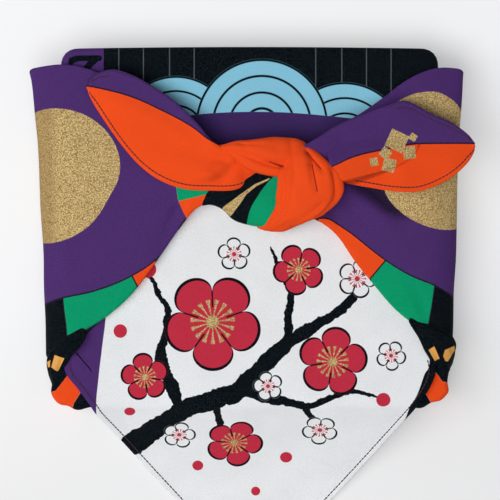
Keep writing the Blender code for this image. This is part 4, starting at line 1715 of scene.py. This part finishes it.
class FuroshikiStage(bpy.types.PropertyGroup):
    floor_tone: number("Floor tone", "How pale the floor is", 0.55, min=0.0, max=1.0, subtype="FACTOR")
    floor_glow: number("Floor glow", "Light that the studio floor gives off by itself", 0.398, min=0.0)
    camera_distance: number("Camera distance", "Height of the camera over the wrap's top", 2.6, unit="LENGTH")
    frame_width: number("Frame width", "What the frame takes in across", 0.325, unit="LENGTH")
    overhead_power: number("Overhead light", "Power of the broad light beside the camera", 55.0, unit="POWER")
    key_power: number("Key light", "Power of the soft light from the left", 16.0, unit="POWER")
    fill: number("Fill light", "Strength of the even light all round", 0.20, min=0.0)


class FUROSHIKI_OT_stage(bpy.types.Operator):
    """Makes the pale floor, the soft light and the camera straight above"""

    bl_idname = "furoshiki.stage"
    bl_label = "Stage"

    def execute(self, context):
        stage = context.scene.furoshiki_stage
        mesh = bpy.data.meshes.new("floor")
        half = FLOOR_HALF
        corners = [(-half, -half, 0.0), (half, -half, 0.0), (half, half, 0.0), (-half, half, 0.0)]
        mesh.from_pydata(corners, [], [(0, 1, 2, 3)])
        tone = (*(stage.floor_tone * share for share in FLOOR_TINT), 1.0)
        paint, shader = plain_material("floor_paint", tone, 0.9)
        shader["Emission Color"].default_value = (*FLOOR_TINT, 1.0)
        x, y = split(add_node(paint.node_tree, "ShaderNodeNewGeometry", {}, "Position"))
        nearness = calc("DIVIDE", FADE_START - (y + x * FADE_LEAN), FADE_LENGTH, clamp=True)
        put(stage.floor_glow - nearness * FADE_DEPTH, shader["Emission Strength"])
        mesh.materials.append(paint)
        add_object("floor", mesh)
        for name, place, size, power in LIGHTS:
            light = bpy.data.lights.new(name, "AREA")
            light.shape = "DISK"
            light.size = size
            light.energy = getattr(stage, power)
            holder = add_object(name, light)
            holder.location = place
            holder.rotation_euler = (-mathutils.Vector(place)).to_track_quat("-Z", "Y").to_euler()
        world = bpy.data.worlds.new("studio")
        world.use_nodes = True
        background = world.node_tree.nodes["Background"]
        background.inputs["Color"].default_value = (0.97, 0.985, 1.0, 1.0)
        background.inputs["Strength"].default_value = stage.fill
        context.scene.world = world
        context.scene.view_settings.view_transform = "Standard"
        camera_data = bpy.data.cameras.new("camera")
        camera_data.lens = camera_data.sensor_width * stage.camera_distance / stage.frame_width
        camera_data.clip_end = 20.0
        camera = add_object("camera", camera_data)
        camera.location = (*VIEW_CENTRE, TOP_LEVEL * MM + stage.camera_distance)
        context.scene.camera = camera
        return {"FINISHED"}


class FUROSHIKI_OT_body(bpy.types.Operator):
    """Makes the underside, the near wall with its bunched corners and the long flap"""

    bl_idname = "furoshiki.body"
    bl_label = "Body and flap"

    def execute(self, context):
        ply_object("underside", underside_shape(), "underside_print")
        ply_object("near_wall", near_wall_shape(), "near_wall_print", flip=True)
        ply_object("flap", flap_shape(), "flap_print", flip=True)
        ply_object("flap_pleat", tuck_shape(PLEAT_ROWS, lambda _: FLAP_PLY), "flap_print", flip=True)
        return {"FINISHED"}


class FUROSHIKI_OT_side_wraps(bpy.types.Operator):
    """Makes the two side corners of the cloth, folded over the top and down the side walls"""

    bl_idname = "furoshiki.side_wraps"
    bl_label = "Side wraps"

    def execute(self, context):
        ply_object("wrap_left", wrap_shape(SIDE_WRAPS["wrap_left"], 1), "left_wrap_print")
        ply_object("wrap_right", wrap_shape(SIDE_WRAPS["wrap_right"], -1), "right_wrap_print", flip=True)
        return {"FINISHED"}


class FUROSHIKI_OT_knot(bpy.types.Operator):
    """Makes the tied strands of the knot and the bunched rolls at the near corners"""

    bl_idname = "furoshiki.knot"
    bl_label = "Knot and rolls"

    def execute(self, context):
        for name, print_name in STRAND_PRINTS.items():
            ply_object(name, strand_shape(name), print_name, flip=name in INWARD_STRANDS, closed=True)
        return {"FINISHED"}


class FUROSHIKI_OT_ends(bpy.types.Operator):
    """Makes the two free ends with their hems and folds"""

    bl_idname = "furoshiki.ends"
    bl_label = "Free ends"

    def execute(self, context):
        for name, upper_hem in UPPER_HEMS.items():
            ply_object(name, end_shape(ENDS[name], upper_hem), name + "_print", flip=name == "left_end")
        ply_object("right_tuck", tuck_shape(TUCK_ROWS, height_of_end), "right_end_print", flip=True)
        return {"FINISHED"}


class FUROSHIKI_OT_join_cloth(bpy.types.Operator):
    """Joins all folds into the one cloth"""

    bl_idname = "furoshiki.join_cloth"
    bl_label = "Join the cloth"

    def execute(self, context):
        parts = [obj for obj in context.scene.objects if obj.get(PART_OF_CLOTH)]
        whole = next(obj for obj in parts if obj.name == "flap")
        with context.temp_override(active_object=whole, selected_editable_objects=parts):
            bpy.ops.object.join()
        whole.name = CLOTH_PIECE
        whole.data.name = CLOTH_PIECE
        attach(whole, "root")
        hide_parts(CLOTH_NODE)
        return {"FINISHED"}


class FUROSHIKI_OT_stitches(bpy.types.Operator):
    """Sews the hems that show, one short stitch after another"""

    bl_idname = "furoshiki.stitches"
    bl_label = "Hem stitches"

    def execute(self, context):
        sizes = context.scene.furoshiki_sizes
        mesh = bmesh.new()
        for path, out in stitch_lines():
            path = path * MM + 0.5 * sizes.ply * out
            run = run_lengths(path)
            count = int(run[-1] / sizes.stitch_pitch)
            for place in range(count):
                start = (place + 0.15) * sizes.stitch_pitch
                rows = []
                for share in (0.0, 0.3, 0.7, 1.0):
                    at = start + share * sizes.stitch_length
                    point, normal = at_run(at, run, path), unit(at_run(at, run, out))
                    ahead, behind = (at_run(at + step, run, path) for step in (STITCH_SLOPE_STEP, -STITCH_SLOPE_STEP))
                    side = unit(np.cross(unit(ahead - behind), normal))
                    full = 1.0 if 0.0 < share < 1.0 else 0.35
                    half = 0.5 * full * sizes.stitch_width
                    ring = []
                    for turn in range(STITCH_SIDES):
                        angle = 2 * math.pi * turn / STITCH_SIDES
                        rise = 0.7 * half * math.sin(angle) - 0.00003
                        ring.append(mesh.verts.new(point + half * math.cos(angle) * side + rise * normal))
                    rows.append(ring)
                for first, second in zip(rows, rows[1:]):
                    for turn in range(STITCH_SIDES):
                        after = (turn + 1) % STITCH_SIDES
                        mesh.faces.new((first[turn], first[after], second[after], second[turn]))
                mesh.faces.new(reversed(rows[0]))
                mesh.faces.new(rows[-1])
        bmesh.ops.recalc_face_normals(mesh, faces=mesh.faces)
        data = bpy.data.meshes.new("hem_stitches")
        mesh.to_mesh(data)
        mesh.free()
        data.shade_smooth()
        data.materials.append(plain_material("sewing_thread", colours().thread, 0.7)[0])
        stitches = add_object("hem_stitches", data)
        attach(stitches, "root")
        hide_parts(CLOTH_NODE)
        side = sizes.side
        return {"FINISHED"}


class FUROSHIKI_PT_panel(bpy.types.Panel):
    bl_idname = "FUROSHIKI_PT_panel"
    bl_label = "Furoshiki Wrap"
    bl_space_type = "VIEW_3D"
    bl_region_type = "UI"
    bl_category = "Furoshiki"

    def draw(self, context):
        layout = self.layout
        for operator in OPERATORS:
            layout.operator(operator.bl_idname)
        scene = context.scene
        for settings in (scene.furoshiki_sizes, scene.furoshiki_colours, scene.furoshiki_stage):
            box = layout.box()
            for name in settings.__annotations__:
                box.prop(settings, name)


OPERATORS = (
    FUROSHIKI_OT_stage,
    FUROSHIKI_OT_body,
    FUROSHIKI_OT_side_wraps,
    FUROSHIKI_OT_ends,
    FUROSHIKI_OT_knot,
    FUROSHIKI_OT_join_cloth,
    FUROSHIKI_OT_stitches,
)
CLASSES = (FuroshikiSizes, FuroshikiColours, FuroshikiStage, *OPERATORS, FUROSHIKI_PT_panel)


def register():
    for item in CLASSES:
        bpy.utils.register_class(item)
    bpy.types.Scene.furoshiki_sizes = bpy.props.PointerProperty(type=FuroshikiSizes)
    bpy.types.Scene.furoshiki_colours = bpy.props.PointerProperty(type=FuroshikiColours)
    bpy.types.Scene.furoshiki_stage = bpy.props.PointerProperty(type=FuroshikiStage)


def unregister():
    del bpy.types.Scene.furoshiki_stage
    del bpy.types.Scene.furoshiki_colours
    del bpy.types.Scene.furoshiki_sizes
    for item in reversed(CLASSES):
        bpy.utils.unregister_class(item)


def main():
    register()
    make_effects()
    bpy.ops.furoshiki.stage()
    bpy.ops.furoshiki.body()
    bpy.ops.furoshiki.side_wraps()
    bpy.ops.furoshiki.ends()
    bpy.ops.furoshiki.knot()
    bpy.ops.furoshiki.join_cloth()
    bpy.ops.furoshiki.stitches()


if __name__ == "__main__":
    main()
